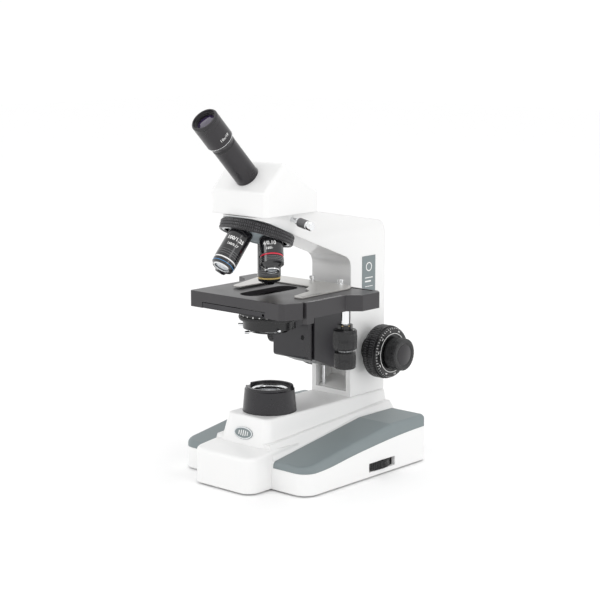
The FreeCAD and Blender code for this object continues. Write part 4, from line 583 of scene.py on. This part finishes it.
# ------------------------------------------------------------------ condenser
CONDENSER = joint_point("iris_swing")
CONDENSER.z = 0
knurl("condenser_knurl", CONDENSER, Z, 32.25, 170.2, 173.2, 31.0, BLACK_KNOB, "condenser", around=120, rows=1,
      depth=0.4)
knurl("condenser_top_knurl", CONDENSER, Z, 32.2, 176.2, 179.4, 31.0, BLACK_KNOB, "condenser", around=120,
      rows=1, depth=0.4)
ticks("condenser_marks", CONDENSER, Z, 30.95, 174.6, 1.0, 1.6, [-150 + 14 * i for i in range(22)], MARKING,
      "condenser")
CENTRING_HEIGHT = 161.5
for name, x, y in (("left", -26.0, -14.0), ("right", 24.8, -13.0)):
    place = Vector((x * MM, y * MM + OPTICAL.y, CENTRING_HEIGHT * MM))
    ring("centring_screw_" + name, place, Vector((x, y, 0)),
         [(0.05, -3.0), (1.5, -3.0), (1.5, 4.0), (1.2, 4.4), (0.05, 4.4)], CHROME, "condenser", count=32)
ring("bracket_screw", Vector((17 * MM, 33.4 * MM + OPTICAL.y, 146.5 * MM)), -Y,
     [(0.05, -0.6), (2.1, -0.6), (2.1, 0.5), (1.7, 0.8), (1.0, 0.8), (0.9, 0.2), (0.05, 0.2)], MATT_BLACK_AND_SHADE,
     "condenser", count=32)

# ------------------------------------------------------------------ lamp, column, label and badge
LAMP_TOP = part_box("lamp_housing")[1][2] / MM
LAMP = Vector((0, OPTICAL.y, 0))
ring("lens_bezel", LAMP, Z, [(16.6, LAMP_TOP - 5.0), (19.6, LAMP_TOP - 4.15), (20.6, LAMP_TOP - 4.1),
                             (19.4, LAMP_TOP - 3.5), (16.9, LAMP_TOP - 4.3)], CHROME, "base")
ring("lamp_foot_line", LAMP, Z, [(28.0, 71.05), (28.65, 71.2), (28.6, 72.2), (28.0, 72.4)], BLACK_KNOB,
     "base")
SLOT_WIDTH = 45.8
patch_box("slot_back", Vector((0, 126.5 + OPTICAL.y / MM, 93.5)) * MM, (SLOT_WIDTH, 33.0, 0.8), SCREEN,
          "base", X, Z)
ramp = Vector((0, 24.0, 9.0)).normalized()
patch_box("slot_ramp", Vector((0, 114.6 + OPTICAL.y / MM, 81.4)) * MM, (SLOT_WIDTH, 25.0, 0.6), SCREEN,
          "base", X, ramp)

LABEL_FACE = 27.7 + 0.5
LABEL_MIDDLE = 129.0
label_low, label_high = (corner[2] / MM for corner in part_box("side_labels"))
label_height = label_high - label_low
for side, side_name in ((1, "right"), (-1, "left")):
    face = LABEL_FACE * side
    patches = [("line_1", LABEL_MIDDLE, 0.40, 13.0, 1.0),
               ("line_2", 127.5, 0.30, 10.0, 1.6),
               ("line_3", LABEL_MIDDLE, 0.16, 13.0, 0.7)]
    marks = [patch_box("label_%s_%s" % (part, side_name),
                       Vector((face, y + OPTICAL.y / MM, label_low + share * label_height)) * MM,
                       (wide, tall, 0.12), MARKING, "base", Y, Z) for part, y, share, wide, tall in patches]
    joined("label_lines_" + side_name, marks, "base")
    emblem = Vector((face, LABEL_MIDDLE + OPTICAL.y / MM, label_low + 0.70 * label_height)) * MM
    ring("label_emblem_" + side_name, emblem, X * side,
         [(3.9, -0.1), (5.0, -0.1), (5.0, 0.08), (3.9, 0.08)], MARKING, "base", count=48)

badge_low, badge_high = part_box("front_badge")
badge_middle = (Vector(badge_low) + Vector(badge_high)) / 2
BADGE_WIDE, BADGE_TALL = 12.9, 6.3               # half the oval's width and height
BADGE_STEPS = 96
lean = math.atan2(9.4, 35.0)                    # the pedestal's slope
badge_up = Vector((0, math.sin(lean), math.cos(lean)))
badge_out = X.cross(badge_up)
vertices, faces = [], []
rim_section = ((0.2, 1.0), (0.62, 1.0), (0.62, 0.9), (0.2, 0.9))
for height, scale in rim_section:
    for i in range(BADGE_STEPS):
        turn = 2 * math.pi * i / BADGE_STEPS
        tall = BADGE_TALL - BADGE_WIDE * (1 - scale)
        place = X * BADGE_WIDE * scale * math.cos(turn) + badge_up * tall * math.sin(turn)
        vertices.append(badge_middle + (place + badge_out * height) * MM)
for k in range(len(rim_section)):
    for i in range(BADGE_STEPS):
        j = (i + 1) % BADGE_STEPS
        after = (k + 1) % len(rim_section)
        faces.append((k * BADGE_STEPS + i, k * BADGE_STEPS + j, after * BADGE_STEPS + j,
                      after * BADGE_STEPS + i))
finish_piece("badge_rim", vertices, faces, RIM, "base")
marks = [patch_box("badge_bar_%d" % index, badge_middle + (X * x + badge_out * 0.55) * MM, (wide, tall, 0.2),
                   MARKING, "base", X, badge_up)
         for index, (x, wide, tall) in enumerate(((-5.6, 1.1, 4.2), (-2.6, 1.1, 5.6), (0.4, 1.1, 6.2),
                                                  (3.4, 1.1, 5.6), (6.4, 1.1, 4.2)))]
joined("badge_bars", marks, "base")


# ------------------------------------------------------------------ camera, floor and lights
def look_at(obj, target):
    obj.rotation_euler = (target - obj.location).to_track_quat("-Z", "Y").to_euler()


AZIMUTH, ELEVATION = math.radians(41.98), math.radians(10.13)
CAMERA_DISTANCE = 1.6295
AIM = Vector((0.0432, OPTICAL.y, 0.1939))
camera = bpy.data.objects.new("camera", bpy.data.cameras.new("camera"))
scene.collection.objects.link(camera)
camera.data.lens = 95.29
camera.data.sensor_width = 36
camera.location = AIM + CAMERA_DISTANCE * Vector((math.sin(AZIMUTH) * math.cos(ELEVATION),
                                                  -math.cos(AZIMUTH) * math.cos(ELEVATION),
                                                  math.sin(ELEVATION)))
look_at(camera, AIM)
scene.camera = camera

FLOOR_HALF = 6
floor_mesh = bpy.data.meshes.new("floor")
floor_mesh.from_pydata([(-FLOOR_HALF, -FLOOR_HALF, 0), (FLOOR_HALF, -FLOOR_HALF, 0), (FLOOR_HALF, FLOOR_HALF,
                                                                                      0),
                        (-FLOOR_HALF, FLOOR_HALF, 0)], [], [(0, 1, 2, 3)])
floor = bpy.data.objects.new("floor", floor_mesh)
scene.collection.objects.link(floor)
floor_mat = bpy.data.materials.new("pale_floor")
floor_mat.use_nodes = True
floor_mat.node_tree.nodes["Principled BSDF"].inputs["Base Color"].default_value = (0.97, 0.97, 0.97, 1)
floor_mat.node_tree.nodes["Principled BSDF"].inputs["Roughness"].default_value = 0.9
floor.data.materials.append(floor_mat)

scene.view_settings.view_transform = "Standard"
world = bpy.data.worlds.new("studio")
world.use_nodes = True
world.node_tree.nodes["Background"].inputs["Color"].default_value = (1, 1, 1, 1)
world.node_tree.nodes["Background"].inputs["Strength"].default_value = 1.03
scene.world = world


def softbox(name, place, size, power):
    light = bpy.data.objects.new(name, bpy.data.lights.new(name, "AREA"))
    light.data.shape = "RECTANGLE"
    light.data.size, light.data.size_y = size
    light.data.energy = power
    light.location = place
    scene.collection.objects.link(light)
    look_at(light, AIM)


softbox("key", Vector((-0.9, -1.5, 1.3)), (0.7, 0.5), 3.5)
softbox("side", Vector((1.7, -0.2, 0.9)), (0.35, 1.0), 2.5)
softbox("top", Vector((0.1, 0.2, 2.0)), (1.0, 1.0), 3)
